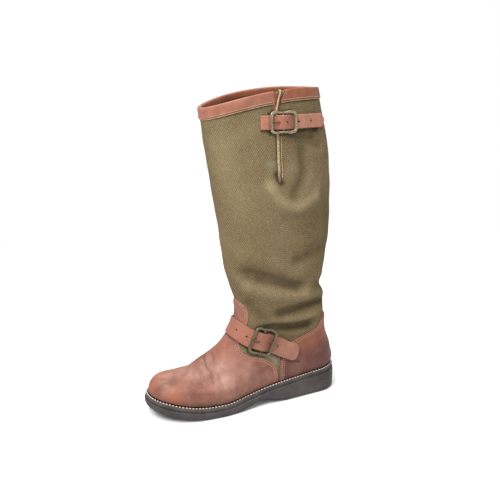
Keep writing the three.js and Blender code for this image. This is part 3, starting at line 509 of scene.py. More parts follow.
class Path:
    """A line on the surface, with places along it, across it and off it in millimetres."""

    def __init__(self, turns, rises, zero=0):
        self.turns = np.radians(turns)
        self.rises = np.asarray(rises, float)
        self.lengths = milestones(face_point(self.turns, self.rises))
        self.lengths -= self.lengths[zero]
        self.start = self.lengths[0]
        self.end = self.lengths[-1]

    def spot(self, along):
        turn = np.interp(along, self.lengths, self.turns)
        return turn, np.interp(along, self.lengths, self.rises)

    def point(self, along, across, off):
        along, across, off = np.broadcast_arrays(*[np.asarray(v, float) for v in (along, across, off)])
        heading = face_point(*self.spot(along + 1)) - face_point(*self.spot(along - 1))
        turn, rise = self.spot(along)
        side = unit(np.cross(face_frame(turn, rise)[2], heading))
        for _ in range(4):
            around, up, _ = face_frame(turn, rise)
            rr = (around * around).sum(-1)
            uu = (up * up).sum(-1)
            ru = (around * up).sum(-1)
            dr = (side * around).sum(-1) * across / 4
            du = (side * up).sum(-1) * across / 4
            turn = turn + (dr * uu - du * ru) / (rr * uu - ru * ru)
            rise = rise + (du * rr - dr * ru) / (rr * uu - ru * ru)
        out = face_frame(turn, rise)[2]
        base = face_point(turn, rise)
        return base + out * (off + relief(base, rise))[..., None], out, unit(heading)


def track_of(table, zero_row):
    """The path through the rows of a table, measured from one of them."""
    return Path(*along_table(table, 24), 24 * zero_row)


# Meshes


def grid_faces(rows, cols, closed=False, first=0):
    j, i = np.meshgrid(np.arange(rows - 1), np.arange(cols if closed else cols - 1), indexing="ij")
    after = (i + 1) % cols
    quads = np.stack([j * cols + i, j * cols + after, (j + 1) * cols + after, (j + 1) * cols + i], -1)
    return quads.reshape(-1, 4) + first


def signed_volume(points, faces):
    total = 0.0
    for face in (faces if isinstance(faces, list) else [faces]):
        a = points[face[:, 0]]
        for k in range(1, face.shape[1] - 1):
            total += (a * np.cross(points[face[:, k]], points[face[:, k + 1]])).sum()
    return total


def add(name, data):
    """Puts an object with this data into the scene."""
    made = bpy.data.objects.new(name, data)
    bpy.context.scene.collection.objects.link(made)
    return made


def mesh_of(name, points, groups):
    mesh = bpy.data.meshes.new(name)
    corners = [face for group in groups for face in group.tolist()]
    mesh.from_pydata((points.reshape(-1, 3) * MM).tolist(), [], corners)
    return mesh


def piece(name, points, faces, material, node=None, crease=None, values=None, uv=None):
    """Makes a closed mesh from points in millimetres and quads or triangles."""
    points = points.reshape(-1, 3)
    groups = faces if isinstance(faces, list) else [faces]
    turned = signed_volume(points - points.mean(0), groups) < 0
    mesh = mesh_of(name, points, [group[:, ::-1] if turned else group for group in groups])
    mesh.polygons.foreach_set("use_smooth", [True] * len(mesh.polygons))
    if crease:
        mesh.set_sharp_from_angle(angle=math.radians(crease))
    for key, numbers in (values or {}).items():
        layer = mesh.attributes.new(key, "FLOAT", "POINT")
        layer.data.foreach_set("value", np.asarray(numbers, np.float32).ravel())
    if uv is not None:
        layer = mesh.uv_layers.new(name="weave")
        index = np.zeros(len(mesh.loops), int)
        mesh.loops.foreach_get("vertex_index", index)
        layer.data.foreach_set("uv", uv[index].astype(np.float32).ravel())
    for one in material if isinstance(material, list) else [material]:
        mesh.materials.append(one)
    made = add(name, mesh)
    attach(made, "root")
    if node:
        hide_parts(node)
    return made


def slab(under, over):
    """Points and faces of a closed slab between two grids."""
    rows, cols = under.shape[:2]
    half = rows * cols
    faces = [grid_faces(rows, cols)[:, ::-1], grid_faces(rows, cols, first=half)]
    edge = list(range(cols))
    edge += [j * cols + cols - 1 for j in range(1, rows)]
    edge += [(rows - 1) * cols + i for i in range(cols - 2, -1, -1)]
    edge += [j * cols for j in range(rows - 2, 0, -1)]
    edge = np.array(edge)
    after = np.roll(edge, -1)
    faces.append(np.stack([edge, after, half + after, half + edge], -1))
    return np.concatenate([under.reshape(-1, 3), over.reshape(-1, 3)]), np.concatenate(faces)


def ring_stack(rings, cap_steps=1, under=None):
    """Points and faces of a stack of rings closed by strips laid from side to side."""
    count = rings.shape[1]
    points = [rings.reshape(-1, 3)]
    faces = [grid_faces(len(rings), count, closed=True)]
    for ring, flip in ((rings[0], True), (rings[-1], False)):
        left = ring[: count // 2 + 1]
        right = np.concatenate([ring[:1], ring[count // 2 :][::-1]])
        steps = np.linspace(0, 1, cap_steps + 1)[None, :, None]
        cap = left[:, None] * (1 - steps) + right[:, None] * steps
        if flip and under is not None:
            cap = under(cap)
        first = sum(len(p) for p in points)
        points.append(cap.reshape(-1, 3))
        quads = grid_faces(count // 2 + 1, cap_steps + 1, first=first)
        faces.append(quads[:, ::-1] if not flip else quads)
    return np.concatenate(points), np.concatenate(faces)


def turn_out(mesh, joined=None):
    """Turns a closed mesh's faces out, first joining points that lie within a distance."""
    work = bmesh.new()
    work.from_mesh(mesh)
    if joined:
        bmesh.ops.remove_doubles(work, verts=work.verts, dist=joined)
        bmesh.ops.dissolve_degenerate(work, edges=work.edges, dist=joined / 4)
    bmesh.ops.recalc_face_normals(work, faces=work.faces)
    work.to_mesh(mesh)
    work.free()


def tube(path, ups, radii, heights, sides, closed):
    """Points and faces of an oval bar along a path."""
    if closed:
        along = np.roll(path, -1, 0) - np.roll(path, 1, 0)
    else:
        along = np.gradient(path, axis=0)
    along = unit(along)
    side = unit(np.cross(along, ups))
    up = np.cross(side, along)
    angle = 2 * np.pi * (np.arange(sides) + 0.5) / sides
    rings = (
        path[:, None]
        + side[:, None] * (radii[:, None] * np.cos(angle))[..., None]
        + up[:, None] * (heights[:, None] * np.sin(angle))[..., None]
    )
    if closed:
        rings = np.concatenate([rings, rings[:1]])
        return rings, grid_faces(len(rings), sides, closed=True)
    ends = [np.array([[0] + [i + 1, i] for i in range(1, sides - 1)])]
    last = (len(rings) - 1) * sides
    ends.append(np.array([[last, last + i, last + i + 1] for i in range(1, sides - 1)]))
    return rings, [grid_faces(len(rings), sides, closed=True), *ends]


def stitch_row(name, centres, ups, headings, length, radius, material, lift=0.0):
    """Short raised threads, each dipping into the surface at its ends."""
    s = np.array([-1, -0.82, -0.4, 0.4, 0.82, 1.0])
    arch = (1 - np.abs(s) ** 3) * radius * 0.9 - radius * 0.35 + lift
    thick = radius * np.array([0.35, 0.8, 1, 1, 0.8, 0.35])
    angle = 2 * np.pi * np.arange(6) / 6
    side = unit(np.cross(headings, ups))
    base = centres[:, None] + headings[:, None] * (s * length / 2)[None, :, None]
    base = base + ups[:, None] * arch[None, :, None]
    rings = (
        base[:, :, None]
        + side[:, None, None] * (thick[:, None] * np.cos(angle))[None, ..., None]
        + ups[:, None, None] * (thick[:, None] * np.sin(angle))[None, ..., None]
    )
    count = len(centres)
    one = grid_faces(6, 6, closed=True)
    offsets = (np.arange(count) * 36)[:, None, None]
    quads = (one[None] + offsets).reshape(-1, 4)
    caps = np.array([[0, 5, 4, 3, 2, 1], [30, 31, 32, 33, 34, 35]])
    caps = (caps[None] + offsets).reshape(-1, 6)
    return piece(name, rings, [quads, caps], material)


# Materials

LIGHT = 1.75


def tone(r, g, b, light=LIGHT):
    """A colour given as it is to look on a screen, 0 to 255, under this much light."""
    linear = [((v / 255 + 0.055) / 1.055) ** 2.4 if v > 10 else v / 255 / 12.92 for v in (r, g, b)]
    return (*[min(v / light, 1) for v in linear], 1)


class Shader:
    """Builds one node material with short calls."""

    def __init__(self, name):
        self.material = bpy.data.materials.new(name)
        self.material.use_nodes = True
        self.tree = self.material.node_tree
        self.bsdf = self.tree.nodes["Principled BSDF"]
        self.here = self.add("TexCoord").outputs["Object"]

    def add(self, kind, inputs=None, **settings):
        made = self.tree.nodes.new("ShaderNode" + kind)
        for key, value in settings.items():
            setattr(made, key, value)
        for key, value in (inputs or {}).items():
            self.put(made.inputs[key], value)
        return made

    def put(self, socket, value):
        if isinstance(value, bpy.types.NodeSocket):
            self.tree.links.new(value, socket)
        else:
            socket.default_value = value

    def math(self, operation, a, b=0.0, clamp=False):
        return self.add("Math", {0: a, 1: b, 2: 0.0}, operation=operation, use_clamp=clamp).outputs[0]

    def plus(self, a, b):
        return self.math("ADD", a, b)

    def times(self, a, b):
        return self.math("MULTIPLY", a, b)

    def mix(self, share, a, b):
        made = self.add("Mix", data_type="RGBA", blend_type="MIX")
        self.put(made.inputs[0], share)
        self.put(made.inputs[6], a)
        self.put(made.inputs[7], b)
        return made.outputs[2]

    def noise(self, scale, detail=3.0, rough=0.5, at=None, distortion=0.0):
        inputs = {"Vector": at or self.here, "Scale": scale, "Detail": detail}
        inputs.update(Roughness=rough, Distortion=distortion)
        return self.add("TexNoise", inputs).outputs["Fac"]

    def cells(self, scale, feature="F1", out="Distance"):
        return self.add("TexVoronoi", {"Vector": self.here, "Scale": scale}, feature=feature).outputs[out]

    def span(self, value, low, high, to_low=0.0, to_high=1.0):
        inputs = {0: value, 1: low, 2: high, 3: to_low, 4: to_high}
        return self.add("MapRange", inputs, clamp=True).outputs[0]

    def value(self, name):
        return self.add("Attribute", attribute_name=name).outputs["Fac"]

    def blend_value(self, colour, name, share, shade):
        """Mixes in a shade as far as the mesh's own values say, be it the thing's own tone or painted
        light and shade.
        """
        tone_share = self.math("MULTIPLY", self.value(name), share, clamp=True)
        return self.mix(tone_share, colour, tone(*shade))

    def bump(self, height, strength, distance):
        inputs = {"Height": height, "Strength": strength, "Distance": distance}
        return self.add("Bump", inputs).outputs["Normal"]

    def finish(self, **inputs):
        for key, value in inputs.items():
            self.put(self.bsdf.inputs[key.replace("_", " ")], value)
        return self.material


def leather(name, dark, middle, light, rough, tone_share=0.5):
    dark, middle, light = tone(*dark), tone(*middle), tone(*light)
    s = Shader(name)
    broad = s.noise(22, 4, 0.55)
    patch = s.noise(75, 5, 0.6, distortion=0.4)
    fine = s.noise(420, 4, 0.6)
    colour = s.mix(s.span(broad, 0.35, 0.68), dark, middle)
    colour = s.mix(s.span(patch, 0.45, 0.75, 0, tone_share), colour, light)
    colour = s.mix(s.span(fine, 0.3, 0.7, 0.0, 0.25), colour, dark)
    colour = s.blend_value(colour, "warm", 0.75, (162, 97, 70))
    # pale haze, and painted sheen where the leather faces the light
    colour = s.blend_value(colour, "haze", s.span(patch, 0.25, 0.7, 0.35, 1.0), (188, 146, 130))
    colour = s.blend_value(colour, "edge", s.span(fine, 0.2, 0.7, 0.25, 0.6), (204, 152, 126))
    # painted shade from the mesh's dark values: creases, the welt's edge, under straps and round buckles
    colour = s.blend_value(colour, "dark", s.span(fine, 0.2, 0.7, 0.7, 1.0), (66, 44, 38))
    colour = s.blend_value(colour, "scuff", s.span(fine, 0.4, 0.6), (214, 172, 128))
    pores = s.cells(760, "SMOOTH_F1")
    wrinkle = s.noise(260, 5, 0.65, distortion=1.2)
    height = s.plus(s.times(pores, 0.5), wrinkle)
    spread = s.plus(patch, s.times(fine, 0.4))
    return s.finish(
        Base_Color=colour, Roughness=s.span(spread, 0.4, 0.95, rough + 0.1, rough - 0.08),
        Normal=s.bump(height, 0.2, 0.0006), Specular_IOR_Level=0.22,
    )


def twill(name, dark, middle, light, fleck):
    s = Shader(name)
    where = s.add("SeparateXYZ", {0: s.add("UVMap", uv_map="weave").outputs[0]}).outputs
    u = s.plus(where[0], s.times(s.noise(40, 2), 2.2))
    v = s.plus(where[1], s.times(s.noise(33, 2), 1.6))
    rib = s.math("SINE", s.times(s.math("SUBTRACT", u, v), 2 * math.pi / RIB_PERIOD))
    cross = s.math("SINE", s.times(s.plus(u, v), 2 * math.pi / CROSS_PERIOD))
    yarn = s.plus(s.times(rib, 0.65), s.times(cross, 0.35))
    lint = s.noise(900, 3, 0.7)
    tuft = s.noise(480, 2, 0.6)
    broad = s.noise(16, 4, 0.6)
    share = s.plus(s.times(yarn, 0.34), tuft)
    colour = s.mix(s.span(share, 0.15, 0.82), tone(*dark), tone(*middle))
    light = tone(*light)
    colour = s.mix(s.span(lint, 0.5, 0.72, 0, 0.6), colour, light)
    colour = s.mix(s.span(broad, 0.4, 0.7, 0, 0.2), colour, light)
    speck = s.span(s.cells(300, out="Color"), 0.83, 0.93)
    near = s.span(s.cells(300), 0.25, 0.1)
    flecks = s.times(s.times(speck, near), 0.6)
    colour = s.mix(flecks, colour, tone(*fleck))
    # painted shade from the mesh's dark values: fold troughs, strap edges, buckles and the band's edge
    colour = s.blend_value(colour, "dark", 0.9, (44, 35, 27))
    colour = s.blend_value(colour, "haze", s.span(tuft, 0.3, 0.7, 0.3, 0.8), (178, 170, 154))
    # painted light on the cloth's fold ridges and upper front, as far as the mesh's values say
    colour = s.blend_value(colour, "painted_light", s.span(tuft, 0.3, 0.7, 0.6, 1.0), (186, 166, 130))
    height = s.plus(yarn, s.times(lint, 1.2))
    return s.finish(
        Base_Color=colour, Roughness=0.95, Normal=s.bump(height, 0.55, 0.0004), Specular_IOR_Level=0.05,
    )


def rubber(name, dark, light, dust):
    dark, light, dust = tone(*dark), tone(*light), tone(*dust)
    s = Shader(name)
    broad = s.noise(35, 4, 0.6)
    fine = s.noise(700, 4, 0.65)
    colour = s.mix(s.span(broad, 0.35, 0.7), dark, light)
    powder = s.times(s.span(fine, 0.45, 0.75), s.span(s.noise(60, 4), 0.4, 0.7, 0.1, 0.6))
    colour = s.mix(powder, colour, dust)
    stretched = s.add("Mapping", {"Vector": s.here, "Scale": (60, 60, 900)}).outputs[0]
    rub = s.noise(1.0, 3, 0.6, at=stretched)
    colour = s.mix(s.span(rub, 0.58, 0.72, 0, 0.35), colour, dust)
    # darker as the mesh's values say: painted shadow on the welt, and darker towards the sole's toe and
    # heel
    colour = s.blend_value(colour, "dark", 0.9, (26, 22, 20))
    height = s.plus(fine, s.times(rub, 0.6))
    return s.finish(
        Base_Color=colour, Roughness=s.span(fine, 0.3, 0.7, 0.85, 0.62),
        Normal=s.bump(height, 0.35, 0.0005), Specular_IOR_Level=0.2,
    )


def metal(name, low, high):
    s = Shader(name)
    broad = s.noise(160, 4, 0.6)
    fine = s.noise(900, 3, 0.6)
    colour = s.mix(s.span(broad, 0.35, 0.65), tone(*low), tone(*high))
    tarnish = s.span(s.plus(broad, s.times(fine, 0.4)), 0.62, 0.82, 0, 0.8)
    colour = s.mix(tarnish, colour, tone(92, 78, 56))
    return s.finish(
        Base_Color=colour, Metallic=s.span(tarnish, 0.0, 1.0, 0.95, 0.5),
        Roughness=s.span(fine, 0.3, 0.7, 0.26, 0.42), Normal=s.bump(fine, 0.25, 0.0003),
    )


def thread(name, colour, shade):
    colour, shade = tone(*colour), tone(*shade)
    s = Shader(name)
    strand = s.noise(1600, 2, 0.6)
    tint = s.mix(s.span(s.noise(90, 3), 0.35, 0.7), colour, shade)
    tint = s.mix(s.span(strand, 0.4, 0.7, 0, 0.5), tint, shade)
    return s.finish(
        Base_Color=tint, Roughness=0.85, Normal=s.bump(strand, 0.5, 0.0003), Specular_IOR_Level=0.25,
    )


foot_leather = leather("foot_leather", (120, 74, 60), (152, 101, 85), (174, 126, 109), 0.58)
# the foot leather darker for the counter: painted shade where it turns away from the light
heel_leather = leather("heel_leather", (98, 54, 44), (124, 72, 60), (142, 90, 76), 0.58, tone_share=0.4)
band_leather = leather("band_leather", (136, 76, 52), (164, 98, 71), (184, 128, 100), 0.55, tone_share=0.35)
strap_leather = leather("strap_leather", (152, 92, 72), (180, 118, 95), (200, 141, 116), 0.55, tone_share=0.35)
lining = leather("lining_leather", (120, 88, 60), (150, 114, 82), (168, 132, 98), 0.7)
facing_leather = leather("facing_leather", (172, 138, 104), (198, 166, 132), (216, 190, 158), 0.55)
cloth = twill("shaft_twill", (80, 67, 46), (138, 120, 89), (167, 148, 114), (208, 196, 162))
cloth_inside = twill("lining_twill", (96, 82, 58), (126, 110, 80), (150, 134, 104), (180, 168, 140))
sole_rubber = rubber("sole_rubber", (62, 56, 56), (84, 77, 77), (122, 114, 112))
welt_rubber = rubber("welt_rubber", (64, 58, 56), (90, 82, 78), (124, 112, 106))
# one aged brass in two copies: lighter for the top buckle, painted light, and darker for the ankle buckle,
# painted shade
brass_in_light = metal("aged_lit_brass", (138, 122, 94), (226, 212, 178))
brass_in_shade = metal("aged_shaded_brass", (102, 92, 72), (160, 148, 122))
brown_metal = thread("browned_metal", (110, 74, 58), (84, 58, 46))
pale_thread = thread("pale_thread", (236, 220, 208), (206, 188, 174))
rust_thread = thread("rust_thread", (216, 168, 142), (170, 118, 98))
tan_thread = thread("tan_thread", (216, 190, 152), (174, 144, 106))
dark_thread = thread("dark_thread", (70, 52, 40), (44, 34, 28))

# The cloth shaft

AROUND = 320
OUTER_ROWS = 210
INNER_ROWS = 60


def fading(points, spots, radius):
    """1 near any of the given spots on the surface, fading to 0 over the radius."""
    turns, rises = np.array(spots, float).T
    flat = points.reshape(-1, 3)
    centres = face_point(np.radians(turns), rises)
    return darkest(np.zeros(len(flat)), *[bell(np.linalg.norm(flat - c, axis=1), radius) for c in centres])


def line_fade(points, spots, radius):
    return bell(line_distance(points.reshape(-1, 3), surface_line(spots))[0], radius)


def under_edge(points, line, half):
    """The painted shadow along a strap's lower edge, from 0 to 1."""
    far, share = line_distance(points, line)
    lengths = milestones(line)
    below = points[:, 2] < np.interp(share * lengths[-1], lengths, line[:, 2])
    ends = (share > 0.002) & (share < 0.998)
    return bell(far - half - 1.0, 2.0) * below * ends


# Dark lines in the cloth, painted shade in its fold troughs and dents, under the top strap's tail and
# where it turns from the light: the (turn, rise) spots, how dark, how far they spread in millimetres
SHADE_LINES = [
    ([(76, 0.468), (90, 0.472), (105, 0.471), (122, 0.47), (140, 0.461)], 1.0, 2.7),
    ([(72, 0.459), (90, 0.461), (108, 0.46), (128, 0.457), (148, 0.446)], 0.78, 6),
    ([(56, 0.406), (73, 0.397), (95, 0.377), (113, 0.359), (122, 0.355)], 1.0, 6.2),
    ([(58, 0.417), (76, 0.407), (95, 0.388), (113, 0.369), (124, 0.366)], 0.75, 6),
    ([(40, 0.617), (55, 0.606), (66, 0.595), (77, 0.582), (89, 0.565), (100, 0.553)], 0.66, 9),
    ([(52, 0.606), (66, 0.594), (77, 0.58), (89, 0.563), (98, 0.553)], 1.0, 7.6),
    ([(80.8, 0.856), (82, 0.842), (84.6, 0.836)], 0.95, 5),
    ([(86.9, 0.955), (85.2, 0.926), (82.6, 0.884), (81.2, 0.85)], 0.8, 1.2),
    ([(109, 0.9), (109, 0.867), (107, 0.841), (101, 0.82), (97, 0.808)], 0.3, 9),
    ([(98, 0.803), (95, 0.803)], 0.4, 6),
    ([(97, 0.932), (111, 0.929), (124, 0.926), (133, 0.923)], 0.95, 2.6),
    ([(98, 0.925), (110, 0.92), (124, 0.914)], 0.6, 6),
    ([(28, 0.509), (38, 0.483), (56, 0.454)], 0.35, 8),
    ([(96, 0.636), (108, 0.642), (124, 0.649), (147, 0.649)], 0.35, 8),
    ([(112, 0.75), (116, 0.72), (116, 0.68)], 0.2, 24),
    ([(140, 0.76), (142, 0.7), (142, 0.64)], 0.25, 22),
]
# Paler lines of the cloth, painted light on its fold ridges and upper front, given the same way
LIT_LINES = [
    ([(72, 0.835), (76, 0.82), (81, 0.8), (94, 0.775), (108, 0.779), (120, 0.79)], 0.6, 7),
    ([(36, 0.575), (49, 0.562), (69, 0.543), (90, 0.53), (108, 0.52)], 0.25, 10),
    ([(84, 0.427), (98, 0.417), (111, 0.408), (126, 0.4)], 0.5, 4),
    ([(30, 0.93), (34, 0.87), (40, 0.8)], 0.2, 22),
]


def shaft():
    turns = 2 * np.pi * np.arange(AROUND) / AROUND
    rises = np.linspace(0, 1, OUTER_ROWS + 1)
    outer = skin(turns[None], rises[:, None], np.zeros(1))
    rim = []
    for angle in (45, 90, 135):
        off = -UPPER_WALL / 2 * (1 - math.cos(math.radians(angle)))
        ring = skin(turns, np.ones(AROUND), np.full(AROUND, off))
        ring[:, 2] += RIM_HEIGHT * math.sin(math.radians(angle))
        rim.append(ring)
    back_down = np.linspace(1, 0, INNER_ROWS + 1)
    inner = skin(turns[None], back_down[:, None], np.full(1, -UPPER_WALL))
    rings = np.concatenate([outer, np.array(rim), inner, outer[:1]])
    count = len(rings) - 1
    points = rings[:-1]
    faces = grid_faces(len(rings), AROUND, closed=True)
    faces %= count * AROUND
    around = np.cumsum(np.linalg.norm(points - np.roll(points, 1, axis=1), axis=2), axis=1)
    around -= around[:, AROUND // 4 : AROUND // 4 + 1]
    down = np.cumsum(np.linalg.norm(np.diff(points, axis=0, prepend=points[:1]), axis=2), axis=0)
    uv = np.stack([around, down], -1).reshape(-1, 2)
    flat = points.reshape(-1, 3)
    fold = relief(points, np.concatenate([rises, np.ones(3), back_down])[:, None])
    # painted shade: darker in the folds' troughs, along the shade lines, under the straps' lower edges and
    # around the buckles
    dark = darkest(
        0.45 * smooth((-fold.ravel() - 0.5) / 5),
        *[share * line_fade(flat, spots, radius) for spots, share, radius in SHADE_LINES],
        *[under_edge(flat, line, half) for line, half in STRAP_LINES],
        *[0.85 * buckle_shade(flat, sizes) for sizes in FASTENINGS.values()],
    )
    # painted shadow in a thin line just below the collar band's lower edge
    per_rise = np.linalg.norm(face_frame(turns, np.ones(AROUND))[1], axis=-1)
    below_band = (1 - rises[:, None]) * per_rise[None] - BAND_WIDTH
    outside = slice(0, below_band.size)
    dark[outside] = np.maximum(dark[outside], 0.95 * bell(below_band - 0.9, 1.1).ravel())
    # painted light along the fold ridges and on the upper front
    painted_light = darkest(*[share * line_fade(flat, spots, radius) for spots, share, radius in LIT_LINES])
    haze = 0.5 * fading(flat, [(76.6, 0.878)], 7) + 0.3 * fading(flat, [(94.6, 0.86)], 7)
    haze += 0.8 * fading(flat, [(74, 0.245), (82, 0.24), (90, 0.225), (96, 0.2)], 9)
    made = piece(
        "shaft_cloth", points, faces, [cloth, cloth_inside], "upper",
        values={"dark": dark, "haze": haze, "painted_light": painted_light}, uv=uv,
    )
    index = np.zeros(len(made.data.polygons), int)
    index[(OUTER_ROWS + 2) * AROUND :] = 1
    made.data.polygons.foreach_set("material_index", index)


# The leather overlays

EDGE_STEPS = np.array([0, 0.15, 0.4, 0.8, 1.3])
EDGE_ROUND = 1.2


def overlay_grid(table, middle, rows, cols):
    """Turns and rises of a leather overlay's grid, closer together near its edges."""
    reach = column_curve(table)
    top = table[-1][0]
    rises = np.linspace(table[0][0], top, rows)
    per_rise = np.linalg.norm(face_frame(np.radians(middle), np.array(top))[1])
    rises = np.concatenate([rises[rises < top - 1.6 / per_rise], top - EDGE_STEPS[::-1] / per_rise])
    grid = []
    for rise in rises:
        span = math.radians(float(reach(rise)))
        edge_turn = np.array(math.radians(middle) + span)
        per_turn = np.linalg.norm(face_frame(edge_turn, np.array(rise))[0])
        near = EDGE_STEPS / per_turn
        inner = span - 2.2 / per_turn
        line = np.concatenate([-span + near, np.linspace(-inner, inner, cols), (span - near)[::-1]])
        grid.append(math.radians(middle) + line)
    return np.array(grid), np.repeat(rises[:, None], len(grid[0]), 1)


def edge_height(surface):
    """1 over most of an overlay, rounding off to its sides and its top."""
    across = np.linalg.norm(np.diff(surface, axis=1), axis=2)
    zero = np.zeros((len(surface), 1))
    left = np.concatenate([zero, np.cumsum(across, 1)], 1)
    right = left[:, -1:] - left
    up = np.linalg.norm(np.diff(surface, axis=0), axis=2)
    top = np.concatenate([np.cumsum(up[::-1], 0)[::-1], np.zeros((1, surface.shape[1]))], 0)
    near = np.minimum(np.minimum(left, right), top)
    return 0.25 + 0.75 * np.sqrt(1 - (1 - np.clip(near / EDGE_ROUND, 0, 1)) ** 2), near


def overlay(name, table, middle, rows, cols, material, values):
    turns, rises = overlay_grid(table, middle, rows, cols)
    under = skin(turns, rises, np.full(1, GAP))
    height, near = edge_height(under)
    over = skin(turns, rises, GAP + LEATHER * height)
    points, faces = slab(under, over)
    numbers = values(points)
    numbers["edge"] = np.tile(bell(near, 0.9).ravel(), 2)
    # painted shadow below the ankle strap's lower edge
    numbers["dark"] = darkest(numbers["dark"], under_edge(points, *STRAP_LINES[0]))
    made = piece(name + "_leather", points, faces, material, name, values=numbers)
    return made


def edge_path(table, middle, sign, low):
    """The side edge of an overlay from a rise up to its top, then across to the middle."""
    rises = np.linspace(low, table[-1][0], 90)
    turns = middle + sign * column_curve(table)(rises)
    last = np.linspace(turns[-1], middle, 6)[1:]
    return Path(np.concatenate([turns, last]), np.concatenate([rises, np.full(5, rises[-1])]))


def stitch_along(name, path, across, pitch, length, radius, material, off, start=0.0, end=None):
    at = np.arange(start, path.end if end is None else end, pitch)
    return stitch_row(name, *path.point(at, across, off), length, radius, material)


def over_welt(points, share, reach):
    """Painted shade, dark where the leather meets the welt and fading above it."""
    above = points[:, 2] - sole_top(HEEL_CENTRE - points[:, 1])
    return darkest(share * np.exp(-np.clip((above - 1) / reach, 0, 9)), smooth((3.4 - above) / 1.4))


# Creases over the instep, with how dark the painted shade in each is, and pale scuffs near the toe
CREASES = [
    ([(-26, 0.285), (-5, 0.291), (27, 0.259), (44, 0.212), (60, 0.14)], 0.8),
    ([(-12, 0.316), (12, 0.306), (38, 0.258), (56, 0.19), (66, 0.14)], 0.7),
    ([(0, 0.265), (28, 0.225), (52, 0.135)], 0.55),
]
SCUFFS = [
    [(66, 0.088), (67.5, 0.07), (69.5, 0.054)],
    [(69.5, 0.054), (71, 0.07), (73.5, 0.086)],
]


def vamp_values(points):
    toe = [(-14, 0.12), (0, 0.07), (-20, 0.07), (30, 0.03), (-40, 0.1), (-32, 0.05)]
    warm = 1.3 * fading(points, toe, 16)
    warm += 0.5 * fading(points, [(14, 0.33), (6, 0.37), (-20, 0.33)], 12)
    # pale haze, and painted sheen on the lit instep and the toe's top
    instep = [(22, 0.27), (12, 0.235), (44, 0.25), (54, 0.2), (-10, 0.21), (-14, 0.175)]
    haze = 0.58 * fading(points, instep, 17)
    haze += 0.42 * fading(points, [(66, 0.17), (74, 0.2)], 14)
    haze += 0.4 * fading(points, [(6, 0.13), (20, 0.1), (-4, 0.15)], 10)
    # painted shade along the welt, low at the toe's front and in the instep's creases
    dark = darkest(
        over_welt(points, 0.7, 7),
        0.38 * fading(points, [(-30, 0.06), (-24, 0.03), (-6, 0.03), (10, 0.03)], 17),
        *[share * line_fade(points, spots, 1.3) for spots, share in CREASES],
    )
    scuff = darkest(*[line_fade(points, spots, 1.3) for spots in SCUFFS])
    return {"warm": warm, "haze": haze, "dark": dark, "scuff": scuff}


def counter_values(points):
    return {
        "warm": 0.65 * fading(points, [(118, 0.24), (128, 0.25), (150, 0.27)], 15),
        "haze": 0.35 * fading(points, [(120, 0.1), (118, 0.05)], 10),
        # painted shade along the welt and low at the back
        "dark": darkest(
            over_welt(points, 0.75, 9), 0.42 * fading(points, [(128, 0.06), (138, 0.09), (150, 0.15)], 12)
        ),
    }


overlay("vamp", VAMP, 0, 150, 200, foot_leather, vamp_values)
overlay("counter", COUNTER, 180, 80, 110, heel_leather, counter_values)
# Two rows of stitches along both leathers' edges, on both sides
OVER_LEATHER = GAP + LEATHER
SIDES = (("outer", 1), ("inner", -1))
for side, sign in SIDES:
    for part, table, middle in (("vamp", VAMP, 0), ("counter", COUNTER, 180)):
        seam = edge_path(table, middle, sign, 0.02)
        for row, inset in enumerate(SEAM_ROWS):
            stitch_along(
                f"{part}_stitches_{side}_{row}", seam, sign * inset, SEAM_PITCH, SEAM_STITCH, SEAM_THREAD,
                rust_thread, OVER_LEATHER,
            )

# The olive side seam between vamp and counter

SIDE_SEAM = [(105.8, 0.004), (105.1, 0.03), (104.3, 0.085), (103.4, 0.147), (102, 0.195), (100, 0.25)]


def rib():
    for side, sign in SIDES:
        track = track_of([(sign * turn, rise) for turn, rise in SIDE_SEAM], 0)
        along = np.linspace(track.start + 1, track.end - 1, 60)
        across = np.array([-0.8, -0.62, -0.25, 0.25, 0.62, 0.8])
        bulge = np.array([0.05, 0.55, 0.95, 0.95, 0.55, 0.05])
        offs = (-0.3, bulge[None] + 0.1)
        points, faces = slab(*(track.point(along[:, None], across[None], off)[0] for off in offs))
        uv = np.tile(np.stack(np.meshgrid(across, along), -1).reshape(-1, 2), (2, 1))
        piece(f"side_rib_{side}", points, faces, cloth, uv=uv)


rib()

# The collar band, its stitches and the gusset behind the top buckle


